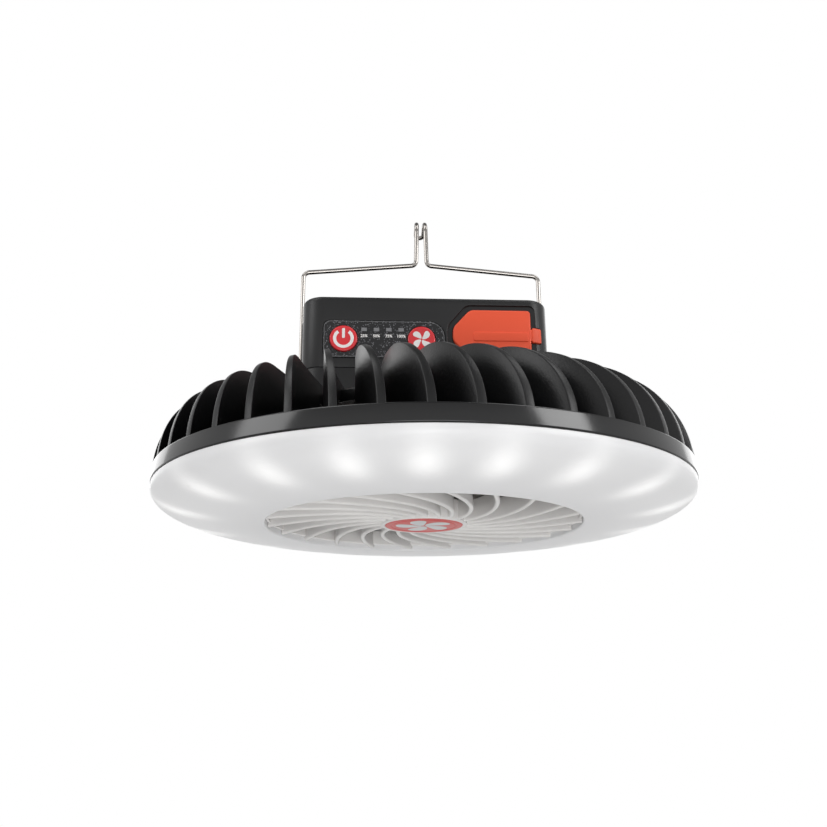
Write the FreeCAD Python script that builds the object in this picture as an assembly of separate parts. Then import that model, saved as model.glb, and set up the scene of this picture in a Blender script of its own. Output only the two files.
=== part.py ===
import FreeCAD, Part
import math
import os

from FreeCAD import Vector

# Portable camping fan with a ring lamp. Frame: origin at the centre of the lamp's flat bottom, +Z up,
# and the buttons face -Y. All lengths are millimetres and all angles are degrees. Each piece has a function
# below that returns its solids, and save() writes them as one node.

# Running and assembly clearances
RUNNING_FIT = 0.05
LOOSE = 0.3
SEAM_GAP = 0.2
SPIN_GAP = 0.4

# Screws: one kind for the shells, lamp and motor, and a small one for the control board
SCREW_RADIUS = 1.4
SCREW_HEAD_RADIUS = 2.6
SCREW_HEAD_HEIGHT = 1.8
SCREW_TIP_ROOM = 1.0
BOARD_SCREW_RADIUS = 1.0
BOARD_SCREW_HEAD_RADIUS = 2.0
BOARD_SCREW_HEAD_HEIGHT = 1.4
BOARD_SCREW_LENGTH = 3.5

# Lamp lens
RIM_RADIUS = 115.0
LENS_WALL = 2.0
LENS_SIDE = 1.8
LENS_CORNER_RISE = 11.2
OPENING_RADIUS = 68.0
OPENING_EDGE = 0.8
FLAT_WIDTH = 10.0
SPIGOT_WIDTH = 1.9
SPIGOT_HEIGHT = 2.8
LENS_BOSS_RADIUS = 3.2
LENS_BOSS_INSET = 3.0
LENS_SCREW_COUNT = 4

# Finned housing
BAND_HEIGHT = 7.0
BAND_WALL = 2.6
BAND_PROUD = 0.3
BAND_TAPER = 0.5
FLOOR_RISE = 4.0
FLOOR_THICKNESS = 2.4
DUCT_INSET = 6.0
DUCT_WALL = 2.0
DUCT_HEIGHT = 18.0
DUCT_GAP = 1.6
DECK_RISE = 31.5
DECK_THICKNESS = 2.5
DECK_OVERHANG = 1.5
DECK_SKIRT = 2.7
FIN_COUNT = 44
FIN_START_ANGLE = -92.17
FIN_FOOT_SINK = 0.45
FIN_FOOT_RISE = 2.6
FIN_SHOULDER = 29.15
FIN_PEAK_RISE = 5.1
FIN_REACH = 13.0
FIN_INNER_SINK = 0.7
FIN_DISH_RISE = 3.9
FIN_ROOM = 2.0
FIN_ROUNDNESS = 2.19
FIN_SWEEP_ANGLE = 37.21
FIN_EASE_ANGLE = 3.32
FIN_FOOT_THICKNESS = 2.7
FIN_PEAK_THICKNESS = 1.4
FIN_INNER_THICKNESS = 1.2

# Grille
VANE_COUNT = 22
VANE_START_ANGLE = -20.0
VANE_INNER_ANGLE = 28.6
VANE_OUTER_ANGLE = -18.4
VANE_THICKNESS = 1.9
VANE_DEPTH = 8.6
GRILLE_RISE = 0.8
GRILLE_RING_WALL = 1.3
HUB_RADIUS = 18.7
HUB_FACE = 0.4
HUB_WALL = 1.7
HUB_PLATE = 1.6
BADGE_THICKNESS = 0.8
CLIP_COUNT = 4
CLIP_WIDTH = 8.0
CLIP_HEIGHT = 2.0
CLIP_REACH = 1.2

# Fan
BLADE_COUNT = 7
BLADE_TIP_GAP = 1.5
BLADE_THICKNESS = 1.8
BLADE_HUB_CHORD = 26.0
BLADE_TIP_CHORD = 34.0
BLADE_HUB_PITCH = 52.0
BLADE_TIP_PITCH = 38.0
BLADE_CAMBER = 2.6
BLADE_MIDDLE_RISE = 14.4
CUP_WALL = 1.8
CUP_FLOOR = 2.0
CUP_HEIGHT = 20.0
FAN_GAP = 2.2
SHAFT_RADIUS = 1.5
SHAFT_BOSS_WALL = 2.5

# Motor
MOTOR_RADIUS = 14.0
MOTOR_HEIGHT = 20.0
MOTOR_WALL = 1.5
MOTOR_CAP = 3.0
BEARING_RADIUS = 4.5
BEARING_WIDTH = 3.0
BEARING_HOUSING = 1.6
ROTOR_RADIUS = 8.0
ROTOR_LENGTH = 6.0
STATOR_GAP = 0.8
STATOR_SLOT_WIDTH = 1.2
STATOR_BACK = 1.0
STATOR_SLOT_COUNT = 9
MOTOR_SCREW_INSET = 5.0
MOTOR_SCREW_COUNT = 3

# Lamp board
BOARD_INSET = 9.0
BOARD_MARGIN = 6.0
BOARD_THICKNESS = 1.6
CHIP_COUNT = 18
CHIP_SIZE = 5.0
CHIP_HEIGHT = 0.9
CHIP_MARGIN = 15.0
CHIP_START_ANGLE = -93.3
CHIP_CROWDING_ANGLE = 8.9
LED_SCREW_INSET = 4.0
LED_SCREW_COUNT = 4

# Cells and their tray
CELL_RADIUS = 9.2
CELL_LENGTH = 65.0
CELL_GAP = 0.4
CELL_BUTTON_HEIGHT = 1.0
TRAY_WALL = 1.5
TRAY_RAIL = 2.6
CONTACT_THICKNESS = 0.3
PAD_THICKNESS = 4.7

# Box; its depth and height are the wall, the rooms below and the cells added up, and match the photograph
BOX_HALF_WIDTH = 53.2
BOX_CORNER = 9.0
BOX_EDGE = 2.4
BOX_WALL = 2.2
BOX_FLOOR = 2.0
BASE_HEIGHT = 17.9
FRONT_ROOM = 6.3
BEHIND_BOARD_ROOM = 2.3
REAR_ROOM = 1.8
PARTING_LIP = 2.0
LIP_WALL = 1.2
POST_RADIUS = 3.4
POST_INSET = 7.2
POST_FRONT_ROOM = 2.0
POST_REAR_INSET = 7.5
BOX_SCREW_GRIP = 12.0

# Controls on the box's front
PANEL_INSET = 9.3
PANEL_FLAP_GAP = 3.5
PANEL_RISE = 4.5
PANEL_DROP = 11.6
PANEL_LEFT_CORNER = 3.0
PANEL_RIGHT_CORNER = 7.0
PANEL_SINK = 1.0
PANEL_PROUD = 0.1
BUTTON_SHARE = 0.35
BUTTON_PROUD = 0.6
BUTTON_TRAVEL = 0.8
BUTTON_FLANGE = 1.3
BUTTON_FLANGE_THICKNESS = 1.2
BUTTON_STEM_RADIUS = 2.0
BUTTON_STEM = 1.2
POWER_INSET = 8.6
FAN_KEY_INSET = 10.0
LIGHT_COUNT = 4
LIGHT_INSET = 8.7
LIGHT_DROP = 4.0
LIGHT_SHARE = 0.455
LIGHT_HEIGHT = 1.6
PCB_THICKNESS = 1.6
PCB_INSET = 7.2
PCB_RISE = 3.6
PCB_DROP = 4.7
PCB_POST_RADIUS = 2.2
PCB_POST_EDGE = 2.3
SWITCH_SIZE = 6.0
SWITCH_BODY = 1.6

# Socket flap
FLAP_INSET = 8.2
FLAP_WIDTH = 33.6
FLAP_POINT = 7.4
FLAP_MARGIN = 5.1
FLAP_DROP = 0.9
FLAP_NOSE = 3.0
FLAP_CORNER = 1.6
FLAP_NOSE_CORNER = 5.0
FLAP_SHOULDER_CORNER = 4.0
FLAP_THICKNESS = 2.3
FLAP_PROUD = 0.6
FLAP_RIB_HEIGHT = 0.35
FLAP_RIB_LENGTH = 24.0
FLAP_RIB_END = 1.0
FLAP_RIB_BELOW = 3.3
FLAP_RIB_ABOVE = 1.1
FLAP_SLOPE = 0.7
POCKET_DEPTH = 2.0
DISH_WIDTH = 2.3
DISH_DEPTH = 0.8
SOCKET_PAD = 2.0
SOCKET_PAD_MARGIN = 2.0
STRAP_INSET = 3.7
STRAP_HALF_HEIGHT = 3.4
STRAP_SINK = 0.9
STRAP_PIN_RADIUS = 1.2
STRAP_BARB = 0.5
STRAP_BARB_LENGTH = 1.0
USB_A_INSET = 10.5
USB_A_WIDTH = 13.1
USB_A_HEIGHT = 5.7
USB_C_INSET = 24.5
USB_C_WIDTH = 8.9
USB_C_HEIGHT = 3.2
USB_SHELL = 0.4
USB_TONGUE = 0.8

# Wire hanger
WIRE_RADIUS = 1.05
HANGER_GAP = 0.7
PIVOT_RISE = 13.5
SHOULDER_RISE = 23.8
CENTRE_RISE = 4.8
POST_FOOT_HALF_GAP = 2.5
POST_TOP_HALF_GAP = 1.85
HOOK_RADIUS = 6.5
HOOK_RISE = 17.6
HOOK_TURN = 115.0
HOOK_TIP = 3.0
LEG_BEND = 2.5
SHOULDER_BEND = 3.0
CENTRE_BEND = 2.5
WIRE_END_INSET = 5.9
BUSH_WALL = 1.4
BUSH_LENGTH = 3.6
BUSH_FLANGE = 0.8
BUSH_FLANGE_THICKNESS = 0.4
HANGER_CLIP_RADIUS = 2.6
HANGER_CLIP_THICKNESS = 0.8

# Leads
LEAD_RADIUS = 1.0
LEAD_BEND = 3.0
LEAD_ROOM = 4.0
LAMP_LEAD_RISE = 14.0
MOTOR_LEAD_RISE = 6.0
MOTOR_LEAD_FRONT = 3.0

# Heights and places that follow from the sizes above
SEAM_HEIGHT = LENS_SIDE + LENS_CORNER_RISE
FLAT_RADIUS = OPENING_RADIUS + FLAT_WIDTH
BAND_BOTTOM_RADIUS = RIM_RADIUS + BAND_PROUD
BAND_TOP_RADIUS = BAND_BOTTOM_RADIUS - BAND_TAPER
BAND_TOP = SEAM_HEIGHT + BAND_HEIGHT
FLOOR_BOTTOM = SEAM_HEIGHT + FLOOR_RISE
FLOOR_TOP = FLOOR_BOTTOM + FLOOR_THICKNESS
COLLAR_RADIUS = OPENING_RADIUS + LENS_WALL
LENS_SCREW_CIRCLE_RADIUS = COLLAR_RADIUS + LENS_BOSS_INSET
GRILLE_RADIUS = OPENING_RADIUS - SEAM_GAP
GRILLE_TOP = GRILLE_RISE + VANE_DEPTH
DUCT_RADIUS = OPENING_RADIUS - DUCT_INSET
DUCT_BOTTOM = GRILLE_TOP + DUCT_GAP
DUCT_TOP = DUCT_BOTTOM + DUCT_HEIGHT
DECK_TOP = SEAM_HEIGHT + DECK_RISE
DECK_BOTTOM = DECK_TOP - DECK_THICKNESS
DECK_RADIUS = DUCT_RADIUS + DECK_OVERHANG
FIN_ROOT_RADIUS = DUCT_RADIUS + DUCT_WALL + FIN_ROOM
FIN_FOOT_RADIUS = BAND_BOTTOM_RADIUS - FIN_FOOT_SINK
FIN_FOOT_HEIGHT = SEAM_HEIGHT + FIN_FOOT_RISE
FIN_PEAK_RADIUS = FIN_FOOT_RADIUS - FIN_SHOULDER
FIN_PEAK_HEIGHT = DECK_TOP + FIN_PEAK_RISE
FIN_INNER_RADIUS = DECK_RADIUS - FIN_REACH
FIN_INNER_HEIGHT = DECK_TOP - FIN_INNER_SINK
FIN_DISH_HEIGHT = DECK_TOP + FIN_DISH_RISE
BOARD_INNER_RADIUS = OPENING_RADIUS + BOARD_INSET
BOARD_OUTER_RADIUS = RIM_RADIUS - BOARD_MARGIN
CHIP_CIRCLE_RADIUS = RIM_RADIUS - CHIP_MARGIN
LED_SCREW_CIRCLE_RADIUS = BOARD_INNER_RADIUS + LED_SCREW_INSET
CUP_BOTTOM = GRILLE_TOP + FAN_GAP
SHAFT_BOTTOM = CUP_BOTTOM + CUP_FLOOR
BLADE_RADIUS = DUCT_RADIUS - BLADE_TIP_GAP
BLADE_MIDDLE = CUP_BOTTOM + BLADE_MIDDLE_RISE
MOTOR_TOP = DECK_BOTTOM
MOTOR_BOTTOM = MOTOR_TOP - MOTOR_HEIGHT
MOTOR_SCREW_CIRCLE_RADIUS = MOTOR_RADIUS - MOTOR_SCREW_INSET
BASE_FLOOR_TOP = DECK_TOP + BOX_FLOOR
PARTING_HEIGHT = DECK_TOP + BASE_HEIGHT
TRAY_BOTTOM = BASE_FLOOR_TOP
TRAY_FLOOR_TOP = TRAY_BOTTOM + TRAY_RAIL + TRAY_WALL
TRAY_END = CELL_LENGTH / 2 + CONTACT_THICKNESS + TRAY_WALL
CELL_SPACING = 2 * CELL_RADIUS + CELL_GAP
CELL_LOW_Z = TRAY_FLOOR_TOP + SEAM_GAP + CELL_RADIUS
CELLS_TOP = CELL_LOW_Z + CELL_SPACING + CELL_RADIUS
COVER_INSIDE_TOP = CELLS_TOP + LOOSE + PAD_THICKNESS
BOX_TOP = COVER_INSIDE_TOP + BOX_WALL
TRAY_DEPTH = CELL_SPACING + 2 * (CELL_RADIUS + SEAM_GAP + TRAY_WALL)
BOX_DEPTH = 2 * BOX_WALL + FRONT_ROOM + PCB_THICKNESS + BEHIND_BOARD_ROOM + TRAY_DEPTH + REAR_ROOM
BOX_HALF_DEPTH = BOX_DEPTH / 2
FRONT = -BOX_HALF_DEPTH
WALL_INSIDE = FRONT + BOX_WALL
POCKET_FLOOR = FRONT + POCKET_DEPTH
PCB_FRONT_Y = WALL_INSIDE + FRONT_ROOM
PCB_BACK_Y = PCB_FRONT_Y + PCB_THICKNESS
CELL_FRONT_Y = PCB_BACK_Y + BEHIND_BOARD_ROOM + TRAY_WALL + SEAM_GAP + CELL_RADIUS
CELL_REAR_Y = CELL_FRONT_Y + CELL_SPACING
POST_X = BOX_HALF_WIDTH - POST_INSET
POST_FRONT_Y = PCB_BACK_Y + POST_FRONT_ROOM + POST_RADIUS
POST_REAR_Y = BOX_HALF_DEPTH - POST_REAR_INSET
FLAP_RIGHT = BOX_HALF_WIDTH - FLAP_INSET
FLAP_LEFT = FLAP_RIGHT - FLAP_WIDTH
FLAP_SHOULDER = FLAP_LEFT + FLAP_POINT
FLAP_HALF_HEIGHT = (BOX_TOP - PARTING_HEIGHT) / 2 - FLAP_MARGIN
FLAP_MIDDLE = (BOX_TOP + PARTING_HEIGHT) / 2 - FLAP_DROP
FLAP_FACE = FRONT - FLAP_PROUD
STRAP_LEFT = FLAP_RIGHT + LOOSE
STRAP_RIGHT = BOX_HALF_WIDTH - STRAP_INSET
USB_A_X = FLAP_RIGHT - USB_A_INSET
USB_C_X = FLAP_RIGHT - USB_C_INSET
PANEL_LEFT = PANEL_INSET - BOX_HALF_WIDTH
PANEL_RIGHT = FLAP_LEFT - PANEL_FLAP_GAP
PANEL_LOW = PARTING_HEIGHT + PANEL_RISE
PANEL_HIGH = BOX_TOP - PANEL_DROP
BUTTON_RADIUS = BUTTON_SHARE * (PANEL_HIGH - PANEL_LOW)
BUTTON_Z = (PANEL_LOW + PANEL_HIGH) / 2
POWER_X = PANEL_LEFT + POWER_INSET
FAN_KEY_X = PANEL_RIGHT - FAN_KEY_INSET
LIGHT_SPACING = (FAN_KEY_X - POWER_X - 2 * LIGHT_INSET) / (LIGHT_COUNT - 1)
LIGHT_WIDTH = LIGHT_SHARE * LIGHT_SPACING
LIGHT_Z = PANEL_HIGH - LIGHT_DROP
PCB_HALF_WIDTH = BOX_HALF_WIDTH - PCB_INSET
PCB_LOW = PARTING_HEIGHT + PCB_RISE
PCB_HIGH = BOX_TOP - PCB_DROP
PCB_POST_X = PCB_HALF_WIDTH - PCB_POST_EDGE
PCB_POST_LOW = PCB_LOW + PCB_POST_EDGE
PCB_POST_HIGH = PCB_HIGH - PCB_POST_EDGE
PIVOT_HEIGHT = DECK_TOP + PIVOT_RISE
SHOULDER_HEIGHT = BOX_TOP + SHOULDER_RISE
CENTRE_HEIGHT = SHOULDER_HEIGHT + CENTRE_RISE
HOOK_START = CENTRE_HEIGHT + HOOK_RISE
HANGER_HALF_WIDTH = BOX_HALF_WIDTH + HANGER_GAP + WIRE_RADIUS
WIRE_END_X = BOX_HALF_WIDTH - WIRE_END_INSET
LEAD_CIRCLE_RADIUS = COLLAR_RADIUS + LEAD_RADIUS + LEAD_RADIUS
LEAD_RISER_RADIUS = TRAY_END + LEAD_RADIUS + LEAD_ROOM


def cylinder(radius, low, high, x=0.0, y=0.0):
    """Upright cylinder between two heights."""
    return Part.makeCylinder(radius, high - low, Vector(x, y, low))


def tube(outer, inner, low, high, x=0.0, y=0.0):
    """Upright tube between two heights."""
    return cylinder(outer, low, high, x, y).cut(cylinder(inner, low, high, x, y))


def cylinder_y(radius, front, back, x, z):
    """Cylinder along Y from front to back."""
    return Part.makeCylinder(radius, back - front, Vector(x, front, z), Vector(0, 1, 0))


def cylinder_x(radius, left, right, y, z):
    """Cylinder along X from left to right."""
    return Part.makeCylinder(radius, right - left, Vector(left, y, z), Vector(1, 0, 0))


def block(left, right, front, back, low, high):
    """Block between the given faces."""
    return Part.makeBox(right - left, back - front, high - low, Vector(left, front, low))


def polar(radius, angle, height=0.0):
    """Point at a radius and an angle about the fan's axis."""
    turn = math.radians(angle)
    return Vector(radius * math.cos(turn), radius * math.sin(turn), height)


def turned(shape, angle):
    """Copy of a shape turned about the fan's axis."""
    copy = shape.copy()
    copy.rotate(Vector(0, 0, 0), Vector(0, 0, 1), angle)
    return copy


def ring_of(shape, count):
    """Evenly spaced copies of a shape round the fan's axis."""
    return [turned(shape, step * 360.0 / count) for step in range(count)]


def mirrored_x(shape):
    """Copy of a shape mirrored from one end of the box to the other."""
    return shape.mirror(Vector(0, 0, 0), Vector(1, 0, 0))


def rounded_face(corners, place):
    """Face on a convex outline of corners (u, v, radius), each rounded; place maps (u, v) to a point."""
    starts = []
    middles = []
    ends = []
    for index, (u, v, radius) in enumerate(corners):
        here = Vector(u, v, 0)
        before = Vector(corners[index - 1][0], corners[index - 1][1], 0)
        after_corner = corners[(index + 1) % len(corners)]
        after = Vector(after_corner[0], after_corner[1], 0)
        back = (before - here).normalize()
        onward = (after - here).normalize()
        half = back.getAngle(onward) / 2
        inward = (back + onward).normalize()
        starts.append(here + back * (radius / math.tan(half)))
        middles.append(here + inward * (radius / math.sin(half) - radius))
        ends.append(here + onward * (radius / math.tan(half)))
    edges = []
    for index in range(len(corners)):
        start, middle, end = (place(point) for point in (starts[index], middles[index], ends[index]))
        edges.append(Part.Arc(start, middle, end).toShape())
        following = place(starts[(index + 1) % len(corners)])
        if end.distanceToPoint(following) > 1e-6:
            edges.append(Part.LineSegment(end, following).toShape())
    return Part.Face(Part.Wire(edges))


def upright_prism(corners, low, high):
    """Rounded outline in the XY plane raised from low to high."""
    face = rounded_face(corners, lambda point: Vector(point.x, point.y, low))
    return face.extrude(Vector(0, 0, high - low))


def front_prism(corners, front, back):
    """Rounded outline in the XZ plane pushed from front to back along Y."""
    face = rounded_face(corners, lambda point: Vector(point.x, front, point.y))
    return face.extrude(Vector(0, back - front, 0))


def rectangle(left, right, low, high, left_corner, right_corner):
    """Corners of a rectangle, with one radius on its left and another on its right."""
    return [
        (left, low, left_corner),
        (right, low, right_corner),
        (right, high, right_corner),
        (left, high, left_corner),
    ]


def box_prism(grow, low, high):
    """The box's plan outline, grown or shrunk all round, raised from low to high."""
    width = BOX_HALF_WIDTH + grow
    depth = BOX_HALF_DEPTH + grow
    corner = BOX_CORNER + grow
    return upright_prism(rectangle(-width, width, -depth, depth, corner, corner), low, high)


def spun(edges):
    """Solid of revolution of a closed profile in the XZ plane."""
    return Part.Face(Part.Wire(edges)).revolve(Vector(0, 0, 0), Vector(0, 0, 1), 360)


def profile_point(radius, height):
    """Point of a profile in the XZ plane."""
    return Vector(radius, 0, height)


def polyline(points):
    """Straight edges through points (radius, height)."""
    places = [profile_point(*point) for point in points]
    return [Part.LineSegment(a, b).toShape() for a, b in zip(places, places[1:])]


def lens_curve(shrink):
    """Quarter ellipse of the lens's corner, from its side down to its flat, for either face."""
    centre = profile_point(FLAT_RADIUS, LENS_CORNER_RISE)
    side = profile_point(RIM_RADIUS - shrink, LENS_CORNER_RISE)
    bottom = profile_point(FLAT_RADIUS, shrink)
    ellipse = Part.Ellipse(side, bottom, centre)
    return Part.ArcOfEllipse(ellipse, 0, math.pi / 2).toShape()


def screw(head_face, shank_end, x, y):
    """Screw whose head sits on a face at one height and whose shank runs up or down to another."""
    out = SCREW_HEAD_HEIGHT if shank_end < head_face else -SCREW_HEAD_HEIGHT
    head_end = head_face + out
    head = cylinder(SCREW_HEAD_RADIUS, min(head_face, head_end), max(head_face, head_end), x, y)
    shank = cylinder(SCREW_RADIUS, min(head_face, shank_end), max(head_face, shank_end), x, y)
    middle = head_face + out / 2
    recess = cylinder(SCREW_RADIUS / 2, min(middle, head_end), max(middle, head_end), x, y)
    return head.fuse(shank).cut(recess)


def bent_rod(points, radius):
    """Round rod along straight runs through points (x, y, z, bend), rounded at the inner points."""
    places = [Vector(*point[:3]) for point in points]
    edges = []
    tip = places[0]
    for index in range(1, len(points) - 1):
        here = places[index]
        back = (places[index - 1] - here).normalize()
        onward = (places[index + 1] - here).normalize()
        half = back.getAngle(onward) / 2
        bend = points[index][3]
        start = here + back * (bend / math.tan(half))
        end = here + onward * (bend / math.tan(half))
        middle = here + (back + onward).normalize() * (bend / math.sin(half) - bend)
        if tip.distanceToPoint(start) > 1e-6:
            edges.append(Part.LineSegment(tip, start).toShape())
        edges.append(Part.Arc(start, middle, end).toShape())
        tip = end
    edges.append(Part.LineSegment(tip, places[-1]).toShape())
    path = Part.Wire(edges)
    direction = (places[1] - places[0]).normalize()
    section = Part.Wire([Part.Circle(places[0], direction, radius).toShape()])
    rod = path.makePipeShell([section], True, False)
    filled = rod.Volume / (math.pi * radius ** 2 * path.Length)
    print("rod volume over section times length: %.4f, length %.1f mm" % (filled, path.Length))
    return rod


def screw_angles(count):
    """Angles of the lens's screws, which stand midway between two fins."""
    return [gap_angle(LENS_SCREW_CIRCLE_RADIUS, 0) + step * 360.0 / count for step in range(count)]


def fin_angle(radius):
    """Angle of a fin's middle plane at a radius, for the first fin."""
    inward = 1 - radius / FIN_FOOT_RADIUS
    return FIN_START_ANGLE - FIN_SWEEP_ANGLE * inward + FIN_EASE_ANGLE * inward ** 2


def gap_angle(radius, step):
    """Angle of the middle of a gap between two fins at a radius."""
    return fin_angle(radius) + (step + 0.5) * 360.0 / FIN_COUNT


def lead_angle():
    """Angle of the lamp's lead: the middle of the gap between fins nearest to the box's left end."""
    first = gap_angle(LEAD_CIRCLE_RADIUS, 0)
    pitch = 360.0 / FIN_COUNT
    return first + round((180 - first) / pitch) * pitch


def lens_diffuser():
    """White translucent ring with its collar, rim spigot and screw bosses."""
    spigot_outer = BAND_BOTTOM_RADIUS - BAND_WALL - LOOSE
    spigot_inner = spigot_outer - SPIGOT_WIDTH
    spigot_top = SEAM_HEIGHT + SPIGOT_HEIGHT
    edge_middle = OPENING_EDGE * (1 - math.sqrt(0.5))
    opening_edge = Part.Arc(
        profile_point(OPENING_RADIUS, OPENING_EDGE),
        profile_point(OPENING_RADIUS + edge_middle, edge_middle),
        profile_point(OPENING_RADIUS + OPENING_EDGE, 0),
    ).toShape()
    outside = [opening_edge, lens_curve(0)]
    outside += polyline([(OPENING_RADIUS + OPENING_EDGE, 0), (FLAT_RADIUS, 0)])
    outside += polyline([(RIM_RADIUS, LENS_CORNER_RISE), (RIM_RADIUS, SEAM_HEIGHT),
                         (spigot_outer, SEAM_HEIGHT), (spigot_outer, spigot_top),
                         (OPENING_RADIUS, spigot_top), (OPENING_RADIUS, OPENING_EDGE)])
    body = spun(Part.__sortEdges__(outside))
    inner_curve = lens_curve(LENS_WALL)
    inside = [inner_curve]
    inside += polyline([(FLAT_RADIUS, LENS_WALL), (COLLAR_RADIUS, LENS_WALL), (COLLAR_RADIUS, FLOOR_BOTTOM),
                        (RIM_RADIUS - LENS_WALL, FLOOR_BOTTOM), (RIM_RADIUS - LENS_WALL, LENS_CORNER_RISE)])
    cavity = spun(Part.__sortEdges__(inside)).common(cylinder(spigot_inner, LENS_WALL / 2, FLOOR_BOTTOM))
    body = body.cut(cavity).fuse(tube(COLLAR_RADIUS, OPENING_RADIUS, GRILLE_TOP, FLOOR_BOTTOM))
    for angle in screw_angles(LENS_SCREW_COUNT):
        foot = polar(LENS_SCREW_CIRCLE_RADIUS, angle)
        body = body.fuse(cylinder(LENS_BOSS_RADIUS, LENS_WALL / 2, FLOOR_BOTTOM, foot.x, foot.y))
    body = body.cut(cylinder(OPENING_RADIUS, 0, FLOOR_BOTTOM))
    for angle in screw_angles(LENS_SCREW_COUNT):
        foot = polar(LENS_SCREW_CIRCLE_RADIUS, angle)
        body = body.cut(cylinder(SCREW_RADIUS + RUNNING_FIT, 2 * LENS_WALL - SCREW_TIP_ROOM, FLOOR_BOTTOM,
                                 foot.x, foot.y))
    for window in ring_of(clip_block(LOOSE), CLIP_COUNT):
        body = body.cut(window)
    return body.removeSplitter()


def clip_block(grow):
    """One snap lug of the grille, or with a clearance its window in the collar."""
    middle = GRILLE_RISE + VANE_DEPTH / 2
    return block(GRILLE_RADIUS - GRILLE_RING_WALL / 2, GRILLE_RADIUS + CLIP_REACH + grow,
                 -CLIP_WIDTH / 2 - grow, CLIP_WIDTH / 2 + grow,
                 middle - CLIP_HEIGHT / 2 - grow, middle + CLIP_HEIGHT / 2 + grow)


def strip(points, low, high):
    """Wall between two heights on a curved plan line through points (radius, angle, half thickness)."""
    sides = [[], []]
    for index, (radius, angle, half) in enumerate(points):
        here = polar(radius, angle)
        before = polar(*points[max(index - 1, 0)][:2])
        after = polar(*points[min(index + 1, len(points) - 1)][:2])
        along = (after - before).normalize()
        across = Vector(-along.y, along.x, 0) * half
        lift = Vector(0, 0, low)
        sides[0].append(here + across + lift)
        sides[1].append(here - across + lift)
    left, right = sides
    edges = [
        Part.Arc(left[0], left[1], left[2]).toShape(),
        Part.LineSegment(left[2], right[2]).toShape(),
        Part.Arc(right[2], right[1], right[0]).toShape(),
        Part.LineSegment(right[0], left[0]).toShape(),
    ]
    return Part.Face(Part.Wire(edges)).extrude(Vector(0, 0, high - low))


def fin_envelope():
    """Solid of revolution that gives the fins their domed top, their inner dish and their open middle."""
    outer_points = []
    steps = 6
    for step in range(steps + 1):
        turn = math.pi / 2 * step / steps
        radius = FIN_PEAK_RADIUS + FIN_SHOULDER * math.cos(turn) ** (2 / FIN_ROUNDNESS)
        rise = (FIN_PEAK_HEIGHT - FIN_FOOT_HEIGHT) * math.sin(turn) ** (2 / FIN_ROUNDNESS)
        outer_points.append(profile_point(radius, FIN_FOOT_HEIGHT + rise))
    dome = Part.BSplineCurve()
    dome.interpolate(outer_points)
    middle_radius = (FIN_PEAK_RADIUS + FIN_INNER_RADIUS) / 2
    dish = Part.Arc(outer_points[-1], profile_point(middle_radius, FIN_DISH_HEIGHT),
                    profile_point(FIN_INNER_RADIUS, FIN_INNER_HEIGHT))
    edges = [dome.toShape(), dish.toShape()]
    edges += polyline([(FIN_INNER_RADIUS, FIN_INNER_HEIGHT), (FIN_INNER_RADIUS, DECK_BOTTOM + 1),
                       (DECK_RADIUS - 1, DECK_BOTTOM + 1), (DECK_RADIUS - 1, DECK_BOTTOM - DECK_SKIRT),
                       (FIN_ROOT_RADIUS, DECK_BOTTOM - DECK_SKIRT),
                       (FIN_ROOT_RADIUS, FLOOR_TOP - 1), (BAND_TOP_RADIUS - 1, FLOOR_TOP - 1),
                       (BAND_TOP_RADIUS - 1, FIN_FOOT_HEIGHT), (FIN_FOOT_RADIUS, FIN_FOOT_HEIGHT)])
    return spun(Part.__sortEdges__(edges))


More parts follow.
